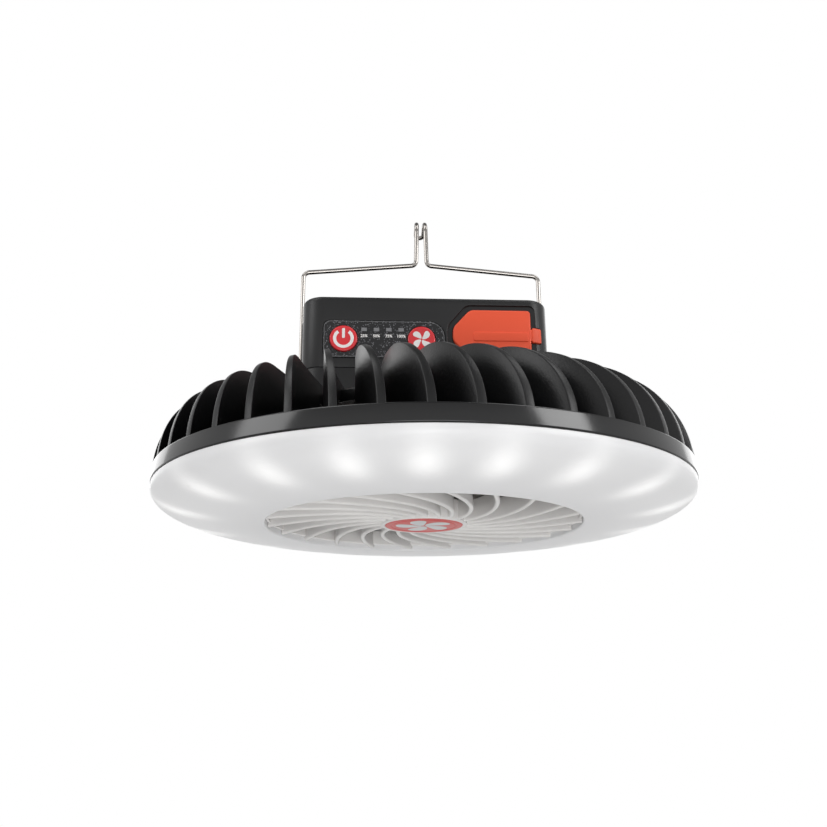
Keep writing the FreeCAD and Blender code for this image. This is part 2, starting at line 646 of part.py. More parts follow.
def fin_housing():
    """Black moulding: rim band, floor, fan duct, fins and the deck that carries the box."""
    shell = polyline([
        (DUCT_RADIUS, DUCT_BOTTOM), (DUCT_RADIUS + DUCT_WALL, DUCT_BOTTOM),
        (DUCT_RADIUS + DUCT_WALL, FLOOR_BOTTOM), (BAND_BOTTOM_RADIUS - BAND_WALL, FLOOR_BOTTOM),
        (BAND_BOTTOM_RADIUS - BAND_WALL, SEAM_HEIGHT + SEAM_GAP),
        (BAND_BOTTOM_RADIUS, SEAM_HEIGHT + SEAM_GAP),
        (BAND_TOP_RADIUS, BAND_TOP), (BAND_TOP_RADIUS - BAND_WALL, BAND_TOP),
        (BAND_TOP_RADIUS - BAND_WALL, FLOOR_TOP), (DUCT_RADIUS + DUCT_WALL, FLOOR_TOP),
        (DUCT_RADIUS + DUCT_WALL, DUCT_TOP), (DUCT_RADIUS, DUCT_TOP), (DUCT_RADIUS, DUCT_BOTTOM),
    ])
    body = spun(shell)
    deck = cylinder(DECK_RADIUS, DECK_BOTTOM, DECK_TOP)
    deck = deck.fuse(tube(DECK_RADIUS, DECK_RADIUS - DUCT_WALL, DECK_BOTTOM - DECK_SKIRT, DECK_TOP))
    beyond = FIN_FOOT_RADIUS + 1
    plan = [
        (FIN_INNER_RADIUS - 1, fin_angle(FIN_INNER_RADIUS - 1), FIN_INNER_THICKNESS / 2),
        (FIN_PEAK_RADIUS, fin_angle(FIN_PEAK_RADIUS), FIN_PEAK_THICKNESS / 2),
        (beyond, fin_angle(beyond), FIN_FOOT_THICKNESS / 2),
    ]
    fin = strip(plan, FIN_FOOT_HEIGHT - 1, FIN_PEAK_HEIGHT + 1).common(fin_envelope())
    body = body.multiFuse([deck] + ring_of(fin, FIN_COUNT))
    cuts = [box_prism(LOOSE, DECK_TOP, BOX_TOP)]
    for angle in screw_angles(LENS_SCREW_COUNT):
        foot = polar(LENS_SCREW_CIRCLE_RADIUS, angle)
        cuts.append(cylinder(SCREW_RADIUS + SEAM_GAP, FLOOR_BOTTOM, FLOOR_TOP, foot.x, foot.y))
    for foot in led_screw_places():
        cuts.append(cylinder(SCREW_RADIUS + RUNNING_FIT, FLOOR_BOTTOM, FLOOR_TOP - LOOSE, foot.x, foot.y))
    for foot in motor_screw_places():
        cuts.append(cylinder(SCREW_RADIUS + SEAM_GAP, DECK_BOTTOM, DECK_TOP, foot.x, foot.y))
    for x, y in box_screw_places():
        cuts.append(cylinder(SCREW_RADIUS + SEAM_GAP, DECK_BOTTOM, DECK_TOP, x, y))
    riser = polar(LEAD_RISER_RADIUS, lead_angle())
    drop = polar(LEAD_CIRCLE_RADIUS, lead_angle())
    cuts.append(cylinder(LEAD_RADIUS + LOOSE, DECK_BOTTOM, DECK_TOP, riser.x, riser.y))
    cuts.append(cylinder(LEAD_RADIUS + LOOSE, FLOOR_BOTTOM, FLOOR_TOP, drop.x, drop.y))
    cuts.append(cylinder(LEAD_RADIUS + LOOSE, DECK_BOTTOM, DECK_TOP, -MOTOR_SCREW_CIRCLE_RADIUS, 0))
    notch = block(DECK_RADIUS - 2 * DUCT_WALL, DECK_RADIUS + 1, -LEAD_RADIUS - LOOSE, LEAD_RADIUS + LOOSE,
                  DECK_BOTTOM - DECK_SKIRT - 1, DECK_BOTTOM)
    cuts.append(turned(notch, lead_angle()))
    return body.cut(Part.makeCompound(cuts)).removeSplitter()


def led_screw_places():
    """Feet of the screws that hold the lamp board."""
    first = gap_angle(LED_SCREW_CIRCLE_RADIUS, 0)
    return [polar(LED_SCREW_CIRCLE_RADIUS, first + step * 360.0 / LED_SCREW_COUNT)
            for step in range(LED_SCREW_COUNT)]


def motor_screw_places():
    """Feet of the motor's screws in the deck."""
    return [polar(MOTOR_SCREW_CIRCLE_RADIUS, step * 360.0 / MOTOR_SCREW_COUNT)
            for step in range(MOTOR_SCREW_COUNT)]


def box_screw_places():
    """Plan places (x, y) of the long screws through deck, base and cover."""
    return [(x, y) for x in (-POST_X, POST_X) for y in (POST_FRONT_Y, POST_REAR_Y)]


def lens_seal():
    """Flat rubber ring between the lens's rim and the band."""
    outer = BAND_BOTTOM_RADIUS - BAND_WALL / 2
    return tube(outer, BAND_BOTTOM_RADIUS - BAND_WALL, SEAM_HEIGHT, SEAM_HEIGHT + SEAM_GAP)


def lens_screws():
    """Screws that pull the lens up against the floor."""
    shapes = []
    for angle in screw_angles(LENS_SCREW_COUNT):
        foot = polar(LENS_SCREW_CIRCLE_RADIUS, angle)
        shapes.append(screw(FLOOR_TOP, 2 * LENS_WALL, foot.x, foot.y))
    return Part.makeCompound(shapes)


def led_board():
    """Ring-shaped lamp board under the floor."""
    board = tube(BOARD_OUTER_RADIUS, BOARD_INNER_RADIUS, FLOOR_BOTTOM - BOARD_THICKNESS, FLOOR_BOTTOM)
    for foot in led_screw_places():
        board = board.cut(cylinder(SCREW_RADIUS + SEAM_GAP, FLOOR_BOTTOM - BOARD_THICKNESS, FLOOR_BOTTOM,
                                   foot.x, foot.y))
    return board


def led_chips():
    """Lamp chips under the board, closer together towards the front and the back."""
    shapes = []
    top = FLOOR_BOTTOM - BOARD_THICKNESS
    for step in range(CHIP_COUNT):
        even = step * 360.0 / CHIP_COUNT
        angle = CHIP_START_ANGLE + even - CHIP_CROWDING_ANGLE * math.sin(math.radians(2 * even))
        half = CHIP_SIZE / 2
        chip = block(CHIP_CIRCLE_RADIUS - half, CHIP_CIRCLE_RADIUS + half, -half, half,
                     top - CHIP_HEIGHT, top)
        shapes.append(turned(chip, angle))
    return Part.makeCompound(shapes)


def led_screws():
    """Screws of the lamp board."""
    bottom = FLOOR_BOTTOM - BOARD_THICKNESS
    return Part.makeCompound([screw(bottom, FLOOR_TOP - 2 * LOOSE, foot.x, foot.y)
                              for foot in led_screw_places()])


def fan_grille():
    """Spiral vanes between a hub cup and a thin ring, with snap lugs."""
    ring = tube(GRILLE_RADIUS, GRILLE_RADIUS - GRILLE_RING_WALL, GRILLE_RISE, GRILLE_TOP)
    half = VANE_THICKNESS / 2
    plan = [
        (HUB_RADIUS - HUB_WALL / 2, VANE_START_ANGLE + VANE_INNER_ANGLE, half),
        ((HUB_RADIUS + OPENING_RADIUS) / 2, VANE_START_ANGLE, half),
        (GRILLE_RADIUS - GRILLE_RING_WALL / 2, VANE_START_ANGLE + VANE_OUTER_ANGLE, half),
    ]
    vane = strip(plan, GRILLE_RISE, GRILLE_TOP)
    lug = clip_block(0)
    body = ring.multiFuse(ring_of(vane, VANE_COUNT) + ring_of(lug, CLIP_COUNT))
    body = body.cut(cylinder(HUB_RADIUS - HUB_WALL, 0, GRILLE_TOP))
    hub = cylinder(HUB_RADIUS, HUB_FACE, GRILLE_TOP)
    hub = hub.cut(cylinder(HUB_RADIUS - HUB_WALL, HUB_FACE, HUB_FACE + BADGE_THICKNESS))
    hub = hub.cut(cylinder(HUB_RADIUS - HUB_WALL, HUB_FACE + BADGE_THICKNESS + HUB_PLATE, GRILLE_TOP))
    return body.fuse(hub).removeSplitter()


def hub_badge():
    """Round badge let into the hub's face."""
    return cylinder(HUB_RADIUS - HUB_WALL - RUNNING_FIT, HUB_FACE, HUB_FACE + BADGE_THICKNESS)


def blade_section(radius, chord, pitch):
    """Curved blade outline in the plane square to the radius."""
    tilt = math.radians(pitch)
    along = Vector(0, math.cos(tilt), math.sin(tilt))
    across = Vector(0, -math.sin(tilt), math.cos(tilt))
    middle = Vector(radius, 0, BLADE_MIDDLE)
    half = BLADE_THICKNESS / 2
    nose = middle - along * (chord / 2)
    tail = middle + along * (chord / 2)
    crown = middle + across * BLADE_CAMBER
    edges = [
        Part.Arc(nose + across * half, crown + across * half, tail + across * half).toShape(),
        Part.LineSegment(tail + across * half, tail - across * half).toShape(),
        Part.Arc(tail - across * half, crown - across * half, nose - across * half).toShape(),
        Part.LineSegment(nose - across * half, nose + across * half).toShape(),
    ]
    return Part.Wire(edges)


def impeller():
    """Fan wheel: a cup over the motor, with twisted blades."""
    inner = HUB_RADIUS - CUP_WALL / 2
    sections = [
        blade_section(inner - 1, BLADE_HUB_CHORD, BLADE_HUB_PITCH),
        blade_section((inner + BLADE_RADIUS) / 2, (BLADE_HUB_CHORD + BLADE_TIP_CHORD) / 2,
                      (BLADE_HUB_PITCH + BLADE_TIP_PITCH) / 2),
        blade_section(BLADE_RADIUS + 2, BLADE_TIP_CHORD, BLADE_TIP_PITCH),
    ]
    blade = Part.makeLoft(sections, True, False)
    blade = blade.common(tube(BLADE_RADIUS, inner, CUP_BOTTOM, DECK_BOTTOM - LOOSE))
    cup_top = CUP_BOTTOM + CUP_HEIGHT
    cup = cylinder(HUB_RADIUS - LOOSE / 2, CUP_BOTTOM, cup_top)
    cup = cup.cut(cylinder(HUB_RADIUS - CUP_WALL, CUP_BOTTOM + CUP_FLOOR, cup_top))
    boss_top = MOTOR_BOTTOM - SPIN_GAP
    boss = cylinder(SHAFT_RADIUS + SHAFT_BOSS_WALL, CUP_BOTTOM, boss_top)
    bore = cylinder(SHAFT_RADIUS, SHAFT_BOTTOM, boss_top)
    return cup.multiFuse(ring_of(blade, BLADE_COUNT) + [boss]).cut(bore).removeSplitter()


def motor_shaft():
    """Steel shaft through the motor, pressed into the fan wheel's boss."""
    return cylinder(SHAFT_RADIUS, SHAFT_BOTTOM, MOTOR_TOP - MOTOR_CAP - LOOSE)


def bearing_low():
    """Height of the lower bearing's bottom face."""
    return MOTOR_BOTTOM + MOTOR_WALL


def motor_can():
    """Motor's cup with the lower bearing's housing."""
    top = MOTOR_TOP - MOTOR_CAP
    can = cylinder(MOTOR_RADIUS, MOTOR_BOTTOM, top)
    can = can.cut(cylinder(MOTOR_RADIUS - MOTOR_WALL, bearing_low(), top))
    housing = tube(BEARING_RADIUS + BEARING_HOUSING, BEARING_RADIUS, bearing_low(),
                   bearing_low() + BEARING_WIDTH)
    return can.fuse(housing).cut(cylinder(SHAFT_RADIUS + 2 * LOOSE, MOTOR_BOTTOM, bearing_low()))


def motor_cap():
    """Motor's lid with the upper bearing's housing, screwed to the deck."""
    low = MOTOR_TOP - MOTOR_CAP
    cap = cylinder(MOTOR_RADIUS, low, MOTOR_TOP)
    cap = cap.fuse(tube(BEARING_RADIUS + BEARING_HOUSING, BEARING_RADIUS, low - BEARING_WIDTH, low))
    for foot in motor_screw_places():
        cap = cap.cut(cylinder(SCREW_RADIUS + RUNNING_FIT, low + SCREW_TIP_ROOM, MOTOR_TOP, foot.x, foot.y))
    return cap


def motor_bearings():
    """Two bearings of the shaft."""
    upper = MOTOR_TOP - MOTOR_CAP - BEARING_WIDTH
    return Part.makeCompound([tube(BEARING_RADIUS, SHAFT_RADIUS + RUNNING_FIT, low, low + BEARING_WIDTH)
                              for low in (bearing_low(), upper)])


def rotor_low():
    """Height of the rotor's bottom face, midway between the bearings."""
    middle = (MOTOR_BOTTOM + MOTOR_WALL + MOTOR_TOP - MOTOR_CAP) / 2
    return middle - ROTOR_LENGTH / 2


def motor_rotor():
    """Magnet core on the shaft."""
    return tube(ROTOR_RADIUS, SHAFT_RADIUS, rotor_low(), rotor_low() + ROTOR_LENGTH)


def motor_stator():
    """Ring of poles inside the can."""
    inner = ROTOR_RADIUS + STATOR_GAP
    outer = MOTOR_RADIUS - MOTOR_WALL
    body = tube(outer, inner, rotor_low(), rotor_low() + ROTOR_LENGTH)
    half_slot = STATOR_SLOT_WIDTH / 2
    slot = block(inner - 1, outer - STATOR_BACK, -half_slot, half_slot, rotor_low(),
                 rotor_low() + ROTOR_LENGTH)
    for gap in ring_of(slot, STATOR_SLOT_COUNT):
        body = body.cut(gap)
    return body


def motor_screws():
    """Screws that hold the motor under the deck."""
    return Part.makeCompound([screw(DECK_TOP, MOTOR_TOP - MOTOR_CAP / 2, foot.x, foot.y)
                              for foot in motor_screw_places()])


def box_base():
    """Lower shell of the box, with screw posts, the hanger's bushings' holes and a lip for the cover."""
    top = PARTING_HEIGHT - SEAM_GAP / 2
    body = box_prism(0, DECK_TOP, top).cut(box_prism(-BOX_WALL, BASE_FLOOR_TOP, top))
    lip_outer = box_prism(-BOX_WALL - LOOSE / 2, top - PARTING_LIP, top + PARTING_LIP)
    lip = lip_outer.cut(box_prism(-BOX_WALL - LOOSE / 2 - LIP_WALL, top - PARTING_LIP, top + PARTING_LIP))
    ledge = box_prism(-BOX_WALL / 2, top - PARTING_LIP, top)
    ledge = ledge.cut(box_prism(-BOX_WALL - LIP_WALL, top - PARTING_LIP, top))
    body = body.multiFuse([lip, ledge])
    for x, y in box_screw_places():
        body = body.fuse(cylinder(POST_RADIUS, DECK_TOP, top, x, y))
    for x, y in box_screw_places():
        body = body.cut(cylinder(SCREW_RADIUS + SEAM_GAP, DECK_TOP, top, x, y))
    hole = cylinder_x(WIRE_RADIUS + RUNNING_FIT + BUSH_WALL, BOX_HALF_WIDTH - BOX_WALL - 2,
                      BOX_HALF_WIDTH + 1, 0, PIVOT_HEIGHT)
    body = body.cut(hole).cut(mirrored_x(hole))
    body = body.cut(cylinder(MOTOR_RADIUS - LENS_WALL / 2, DECK_TOP, BASE_FLOOR_TOP))
    riser = polar(LEAD_RISER_RADIUS, lead_angle())
    body = body.cut(cylinder(LEAD_RADIUS + LOOSE, DECK_TOP, BASE_FLOOR_TOP, riser.x, riser.y))
    return body.removeSplitter()


def flap_outline(grow):
    """Corners (x, z, radius) of the flap, pointed towards the buttons, grown all round."""
    slope = grow * FLAP_SLOPE
    left = FLAP_LEFT - grow
    shoulder = FLAP_SHOULDER - slope
    right = FLAP_RIGHT + grow
    half = FLAP_HALF_HEIGHT + grow
    nose = FLAP_NOSE + slope / 2
    right_corner = FLAP_CORNER + grow / 2
    shoulder_corner = FLAP_SHOULDER_CORNER + grow / 2
    nose_corner = FLAP_NOSE_CORNER + grow / 2
    return [
        (left, FLAP_MIDDLE - nose, nose_corner), (shoulder, FLAP_MIDDLE - half, shoulder_corner),
        (right, FLAP_MIDDLE - half, right_corner), (right, FLAP_MIDDLE + half, right_corner),
        (shoulder, FLAP_MIDDLE + half, shoulder_corner), (left, FLAP_MIDDLE + nose, nose_corner),
    ]


def panel_outline(grow):
    """Corners (x, z, radius) of the control panel, rounder at its right end."""
    return rectangle(PANEL_LEFT - grow, PANEL_RIGHT + grow, PANEL_LOW - grow, PANEL_HIGH + grow,
                     PANEL_LEFT_CORNER + grow, PANEL_RIGHT_CORNER + grow)


def light_places():
    """X of each indicator light."""
    return [POWER_X + LIGHT_INSET + step * LIGHT_SPACING for step in range(LIGHT_COUNT)]


def light_block(x, grow, front, back):
    """One indicator light, or its window with a clearance."""
    half_width = LIGHT_WIDTH / 2 + grow
    half_height = LIGHT_HEIGHT / 2 + grow
    return block(x - half_width, x + half_width, front, back, LIGHT_Z - half_height, LIGHT_Z + half_height)


def strap_region(grow):
    """Block round the strap's tab at the box's corner."""
    return block(STRAP_LEFT - grow, STRAP_RIGHT + grow, FRONT - 2, FRONT + BOX_CORNER,
                 FLAP_MIDDLE - STRAP_HALF_HEIGHT - grow, FLAP_MIDDLE + STRAP_HALF_HEIGHT + grow)


def socket_places():
    """Sockets behind the flap: x, width and height."""
    return [(USB_A_X, USB_A_WIDTH, USB_A_HEIGHT), (USB_C_X, USB_C_WIDTH, USB_C_HEIGHT)]


def box_cover():
    """Upper shell of the box, with the places for panel, buttons, lights, flap and sockets."""
    low = PARTING_HEIGHT + SEAM_GAP / 2
    body = box_prism(0, low, BOX_TOP)
    rim = [edge for edge in body.Edges if edge.BoundBox.ZMin > BOX_TOP - 0.01]
    body = body.makeFillet(BOX_EDGE, rim)
    body = body.cut(box_prism(-BOX_WALL, low, COVER_INSIDE_TOP))
    adds = [cylinder(POST_RADIUS, low, BOX_TOP - BOX_WALL / 2, x, y) for x, y in box_screw_places()]
    pad_margin = DISH_WIDTH + SOCKET_PAD_MARGIN
    pad = block(FLAP_LEFT - pad_margin, FLAP_RIGHT + pad_margin, WALL_INSIDE - 1, WALL_INSIDE + SOCKET_PAD,
                PARTING_HEIGHT + PARTING_LIP + 2 * LOOSE, COVER_INSIDE_TOP + 1)
    adds.append(pad.common(box_prism(-BOX_WALL / 2, low, BOX_TOP)))
    for x in (-PCB_POST_X, PCB_POST_X):
        for z in (PCB_POST_LOW, PCB_POST_HIGH):
            adds.append(cylinder_y(PCB_POST_RADIUS, WALL_INSIDE - 1, PCB_FRONT_Y, x, z))
    body = body.multiFuse(adds)
    cuts = [front_prism(panel_outline(SEAM_GAP), FRONT - 1, FRONT + PANEL_SINK)]
    for x in (POWER_X, FAN_KEY_X):
        cuts.append(cylinder_y(BUTTON_RADIUS + LOOSE, FRONT - 1, WALL_INSIDE + 1, x, BUTTON_Z))
    for x in light_places():
        cuts.append(light_block(x, LOOSE, FRONT - 1, WALL_INSIDE + 1))
    cuts.append(front_prism(flap_outline(DISH_WIDTH), FRONT - 1, FRONT + DISH_DEPTH))
    cuts.append(front_prism(flap_outline(LOOSE), FRONT - 1, POCKET_FLOOR))
    cuts.append(strap_region(LOOSE).cut(box_prism(-STRAP_SINK - LOOSE, low, BOX_TOP)))
    cuts.append(cylinder_y(STRAP_PIN_RADIUS + RUNNING_FIT, FRONT, WALL_INSIDE + SOCKET_PAD + 1,
                           strap_pin_x(), FLAP_MIDDLE))
    for x, width, height in socket_places():
        cuts.append(block(x - width / 2 - SEAM_GAP, x + width / 2 + SEAM_GAP, FRONT - 1,
                          WALL_INSIDE + SOCKET_PAD + 1, FLAP_MIDDLE - height / 2 - SEAM_GAP,
                          FLAP_MIDDLE + height / 2 + SEAM_GAP))
    for x, y in box_screw_places():
        cuts.append(cylinder(SCREW_RADIUS + RUNNING_FIT, low, low + BOX_SCREW_GRIP, x, y))
    for x, z in pcb_screw_places():
        cuts.append(cylinder_y(BOARD_SCREW_RADIUS + RUNNING_FIT,
                               PCB_FRONT_Y - BOARD_SCREW_LENGTH - 2 * LOOSE, PCB_FRONT_Y + 1, x, z))
    return body.cut(Part.makeCompound(cuts)).removeSplitter()


def strap_pin_x():
    """X of the strap's pin in the cover."""
    return (STRAP_LEFT + STRAP_RIGHT) / 2


def pcb_screw_places():
    """Places (x, z) of the control board's screws."""
    return [(x, z) for x in (-PCB_POST_X, PCB_POST_X) for z in (PCB_POST_LOW, PCB_POST_HIGH)]


def box_screws():
    """Long screws from under the deck, through the base's posts and into the cover's."""
    end = PARTING_HEIGHT + BOX_SCREW_GRIP - SCREW_TIP_ROOM
    return Part.makeCompound([screw(DECK_BOTTOM, end, x, y) for x, y in box_screw_places()])


def control_panel():
    """Thin speckled panel with holes for the buttons and windows for the lights."""
    body = front_prism(panel_outline(0), FRONT - PANEL_PROUD, FRONT + PANEL_SINK)
    for x in (POWER_X, FAN_KEY_X):
        body = body.cut(cylinder_y(BUTTON_RADIUS + LOOSE, FRONT - 1, FRONT + 2, x, BUTTON_Z))
    for x in light_places():
        body = body.cut(light_block(x, LOOSE / 2, FRONT - 1, FRONT + 2))
    return body


def button(x):
    """Round button with the flange that keeps it in and the stem that reaches its switch."""
    face = FRONT - PANEL_PROUD - BUTTON_PROUD
    flange_front = WALL_INSIDE + LOOSE
    flange_back = flange_front + BUTTON_FLANGE_THICKNESS
    cap = cylinder_y(BUTTON_RADIUS, face, flange_front, x, BUTTON_Z)
    rim = [edge for edge in cap.Edges if edge.BoundBox.YMax < face + 0.01]
    cap = cap.makeFillet(BUTTON_PROUD / 2, rim)
    flange = cylinder_y(BUTTON_RADIUS + BUTTON_FLANGE, flange_front, flange_back, x, BUTTON_Z)
    stem = cylinder_y(BUTTON_STEM_RADIUS, flange_back, flange_back + BUTTON_STEM, x, BUTTON_Z)
    return cap.multiFuse([flange, stem]).removeSplitter()


def button_switches():
    """Two push switches on the control board, just out of the stems' reach at rest."""
    shapes = []
    half = SWITCH_SIZE / 2
    stem_end = WALL_INSIDE + LOOSE + BUTTON_FLANGE_THICKNESS + BUTTON_STEM
    plunger_face = stem_end + BUTTON_TRAVEL + LOOSE
    for x in (POWER_X, FAN_KEY_X):
        body = block(x - half, x + half, PCB_FRONT_Y - SWITCH_BODY, PCB_FRONT_Y,
                     BUTTON_Z - half, BUTTON_Z + half)
        plunger = cylinder_y(BUTTON_STEM_RADIUS - LOOSE, plunger_face, PCB_FRONT_Y, x, BUTTON_Z)
        shapes.append(body.fuse(plunger))
    return Part.makeCompound(shapes)


def indicator_lights():
    """Light pipes from the control board to the panel's windows."""
    return Part.makeCompound([light_block(x, 0, FRONT - PANEL_PROUD, PCB_FRONT_Y) for x in light_places()])


def control_board():
    """Upright circuit board behind the box's front."""
    board = block(-PCB_HALF_WIDTH, PCB_HALF_WIDTH, PCB_FRONT_Y, PCB_BACK_Y, PCB_LOW, PCB_HIGH)
    for x, z in pcb_screw_places():
        board = board.cut(cylinder_y(BOARD_SCREW_RADIUS + SEAM_GAP, PCB_FRONT_Y, PCB_BACK_Y, x, z))
    return board


def board_screws():
    """Screws from behind the control board into the cover's posts."""
    shapes = []
    for x, z in pcb_screw_places():
        head = cylinder_y(BOARD_SCREW_HEAD_RADIUS, PCB_BACK_Y, PCB_BACK_Y + BOARD_SCREW_HEAD_HEIGHT, x, z)
        shank = cylinder_y(BOARD_SCREW_RADIUS, PCB_FRONT_Y - BOARD_SCREW_LENGTH, PCB_BACK_Y, x, z)
        shapes.append(head.fuse(shank))
    return Part.makeCompound(shapes)


def socket(x, width, height, tongue_offset):
    """Socket shell with its tongue, standing on the control board."""
    mouth = POCKET_FLOOR + RUNNING_FIT
    shell = block(x - width / 2, x + width / 2, mouth, PCB_FRONT_Y, FLAP_MIDDLE - height / 2,
                  FLAP_MIDDLE + height / 2)
    inside = block(x - width / 2 + USB_SHELL, x + width / 2 - USB_SHELL, mouth, PCB_FRONT_Y - 1,
                   FLAP_MIDDLE - height / 2 + USB_SHELL, FLAP_MIDDLE + height / 2 - USB_SHELL)
    tongue_low = FLAP_MIDDLE + tongue_offset
    tongue = block(x - width / 3, x + width / 3, mouth + 1, PCB_FRONT_Y - 1, tongue_low,
                   tongue_low + USB_TONGUE)
    return shell.cut(inside).fuse(tongue)


def usb_a_port():
    """Wide output socket."""
    return socket(USB_A_X, USB_A_WIDTH, USB_A_HEIGHT, USB_TONGUE / 2)


def usb_c_port():
    """Small charging socket."""
    return socket(USB_C_X, USB_C_WIDTH, USB_C_HEIGHT, -USB_TONGUE / 2)


def port_flap():
    """Rubber cover of the sockets, with a raised band that lines up with its strap."""
    plate = front_prism(flap_outline(0), FLAP_FACE, FLAP_FACE + FLAP_THICKNESS)
    rib_right = FLAP_RIGHT - FLAP_RIB_END
    rib = rectangle(rib_right - FLAP_RIB_LENGTH, rib_right, FLAP_MIDDLE - FLAP_RIB_BELOW,
                    FLAP_MIDDLE + FLAP_RIB_ABOVE, FLAP_CORNER / 2, FLAP_CORNER / 3)
    band = front_prism(rib, FLAP_FACE - FLAP_RIB_HEIGHT, FLAP_FACE + 1)
    return plate.fuse(band).removeSplitter()


def flap_strap():
    """Tab of the flap's strap, wrapped on the box's corner and pinned into the cover."""
    tab = strap_region(0).common(box_prism(FLAP_PROUD, FLAP_MIDDLE - BOX_CORNER, FLAP_MIDDLE + BOX_CORNER))
    tab = tab.cut(box_prism(-STRAP_SINK, FLAP_MIDDLE - BOX_CORNER, FLAP_MIDDLE + BOX_CORNER))
    pin = cylinder_y(STRAP_PIN_RADIUS, FRONT, WALL_INSIDE + SOCKET_PAD + STRAP_BARB_LENGTH, strap_pin_x(),
                     FLAP_MIDDLE)
    barb = cylinder_y(STRAP_PIN_RADIUS + STRAP_BARB, WALL_INSIDE + SOCKET_PAD + RUNNING_FIT,
                      WALL_INSIDE + SOCKET_PAD + STRAP_BARB_LENGTH, strap_pin_x(), FLAP_MIDDLE)
    return tab.multiFuse([pin, barb])


def cell_places():
    """Places (y, z) of the four cells."""
    return [(y, z) for y in (CELL_FRONT_Y, CELL_REAR_Y) for z in (CELL_LOW_Z, CELL_LOW_Z + CELL_SPACING)]


def battery_cells():
    """Four round cells, lying along the box, each with its raised contact."""
    shapes = []
    half = CELL_LENGTH / 2
    for y, z in cell_places():
        cell = cylinder_x(CELL_RADIUS, -half, half - CELL_BUTTON_HEIGHT, y, z)
        shapes.append(cell.fuse(cylinder_x(CELL_RADIUS / 3, half - CELL_BUTTON_HEIGHT, half, y, z)))
    return Part.makeCompound(shapes)


def battery_holder():
    """Tray with end walls for the cells, on two rails that leave room for a lead."""
    half = CELL_LENGTH / 2 + CONTACT_THICKNESS
    end = TRAY_END
    front = CELL_FRONT_Y - CELL_RADIUS - SEAM_GAP
    back = CELL_REAR_Y + CELL_RADIUS + SEAM_GAP
    floor_low = TRAY_BOTTOM + TRAY_RAIL
    top = CELL_LOW_Z + CELL_SPACING
    adds = [block(-end, end, front - TRAY_WALL, back + TRAY_WALL, floor_low, TRAY_FLOOR_TOP)]
    for left, right in ((-end, -half), (half, end)):
        adds.append(block(left, right, front - TRAY_WALL, back + TRAY_WALL, floor_low, top))
    for low, high in ((front - TRAY_WALL, front), (back, back + TRAY_WALL)):
        adds.append(block(-end, end, low, high, TRAY_BOTTOM, CELL_LOW_Z))
    return adds[0].multiFuse(adds[1:]).removeSplitter()


def battery_contacts():
    """Contact strips between the cells' ends and the tray's end walls."""
    half = CELL_LENGTH / 2
    low = CELL_LOW_Z - CELL_RADIUS / 2
    high = CELL_LOW_Z + CELL_SPACING
    shapes = []
    for left, right in ((-half - CONTACT_THICKNESS, -half), (half, half + CONTACT_THICKNESS)):
        for y in (CELL_FRONT_Y, CELL_REAR_Y):
            shapes.append(block(left, right, y - CELL_RADIUS / 2, y + CELL_RADIUS / 2, low, high))
    return Part.makeCompound(shapes)


def battery_pad():
    """Foam pad that keeps the cells down under the cover."""
    low = CELLS_TOP + LOOSE
    return block(-CELL_LENGTH / 3, CELL_LENGTH / 3, CELL_FRONT_Y, CELL_REAR_Y, low, COVER_INSIDE_TOP)


def hanger_wire():
    """One bent wire: ends in the box, legs, arms, two posts and a double hook turned back."""
    turn = math.radians(HOOK_TURN)
    trim = HOOK_RADIUS * math.tan(turn / 2)
    corner = HOOK_START + trim
    reach = trim + HOOK_TIP + POST_TOP_HALF_GAP
    tip_y = reach * math.sin(turn)
    tip_z = corner + reach * math.cos(turn)
    half = [
        (-WIRE_END_X, 0, PIVOT_HEIGHT, 0),
        (-HANGER_HALF_WIDTH, 0, PIVOT_HEIGHT, LEG_BEND),
        (-HANGER_HALF_WIDTH, 0, SHOULDER_HEIGHT, SHOULDER_BEND),
        (-POST_FOOT_HALF_GAP, 0, CENTRE_HEIGHT, CENTRE_BEND),
        (-POST_TOP_HALF_GAP, 0, corner, HOOK_RADIUS),
        (-POST_TOP_HALF_GAP, tip_y, tip_z, POST_TOP_HALF_GAP),
    ]
    other = [(-x, y, z, bend) for x, y, z, bend in reversed(half)]
    return bent_rod(half + other, WIRE_RADIUS)


def hanger_bushes():
    """Two bushes in the base's end walls that the wire turns in, flared where the wire bends."""
    bore = WIRE_RADIUS + RUNNING_FIT
    inner = BOX_HALF_WIDTH - BUSH_LENGTH
    straight_end = HANGER_HALF_WIDTH - LEG_BEND
    bush = cylinder_x(bore + BUSH_WALL, inner, BOX_HALF_WIDTH, 0, PIVOT_HEIGHT)
    bush = bush.cut(cylinder_x(bore, inner, BOX_HALF_WIDTH, 0, PIVOT_HEIGHT))
    rim = BOX_HALF_WIDTH + BUSH_FLANGE_THICKNESS
    flange = cylinder_x(bore + BUSH_WALL + BUSH_FLANGE, BOX_HALF_WIDTH, rim, 0, PIVOT_HEIGHT)
    flare = cylinder_x(bore + BUSH_WALL / 2, straight_end, rim, 0, PIVOT_HEIGHT)
    bush = bush.fuse(flange).cut(flare)
    return Part.makeCompound([bush, mirrored_x(bush)])


def hanger_clips():
    """Push-on clips that keep the wire's ends in the box."""
    left = BOX_HALF_WIDTH - BUSH_LENGTH - LOOSE - HANGER_CLIP_THICKNESS
    clip = cylinder_x(HANGER_CLIP_RADIUS, left, left + HANGER_CLIP_THICKNESS, 0, PIVOT_HEIGHT)
    clip = clip.cut(cylinder_x(WIRE_RADIUS, left, left + HANGER_CLIP_THICKNESS, 0, PIVOT_HEIGHT))
    return Part.makeCompound([clip, mirrored_x(clip)])


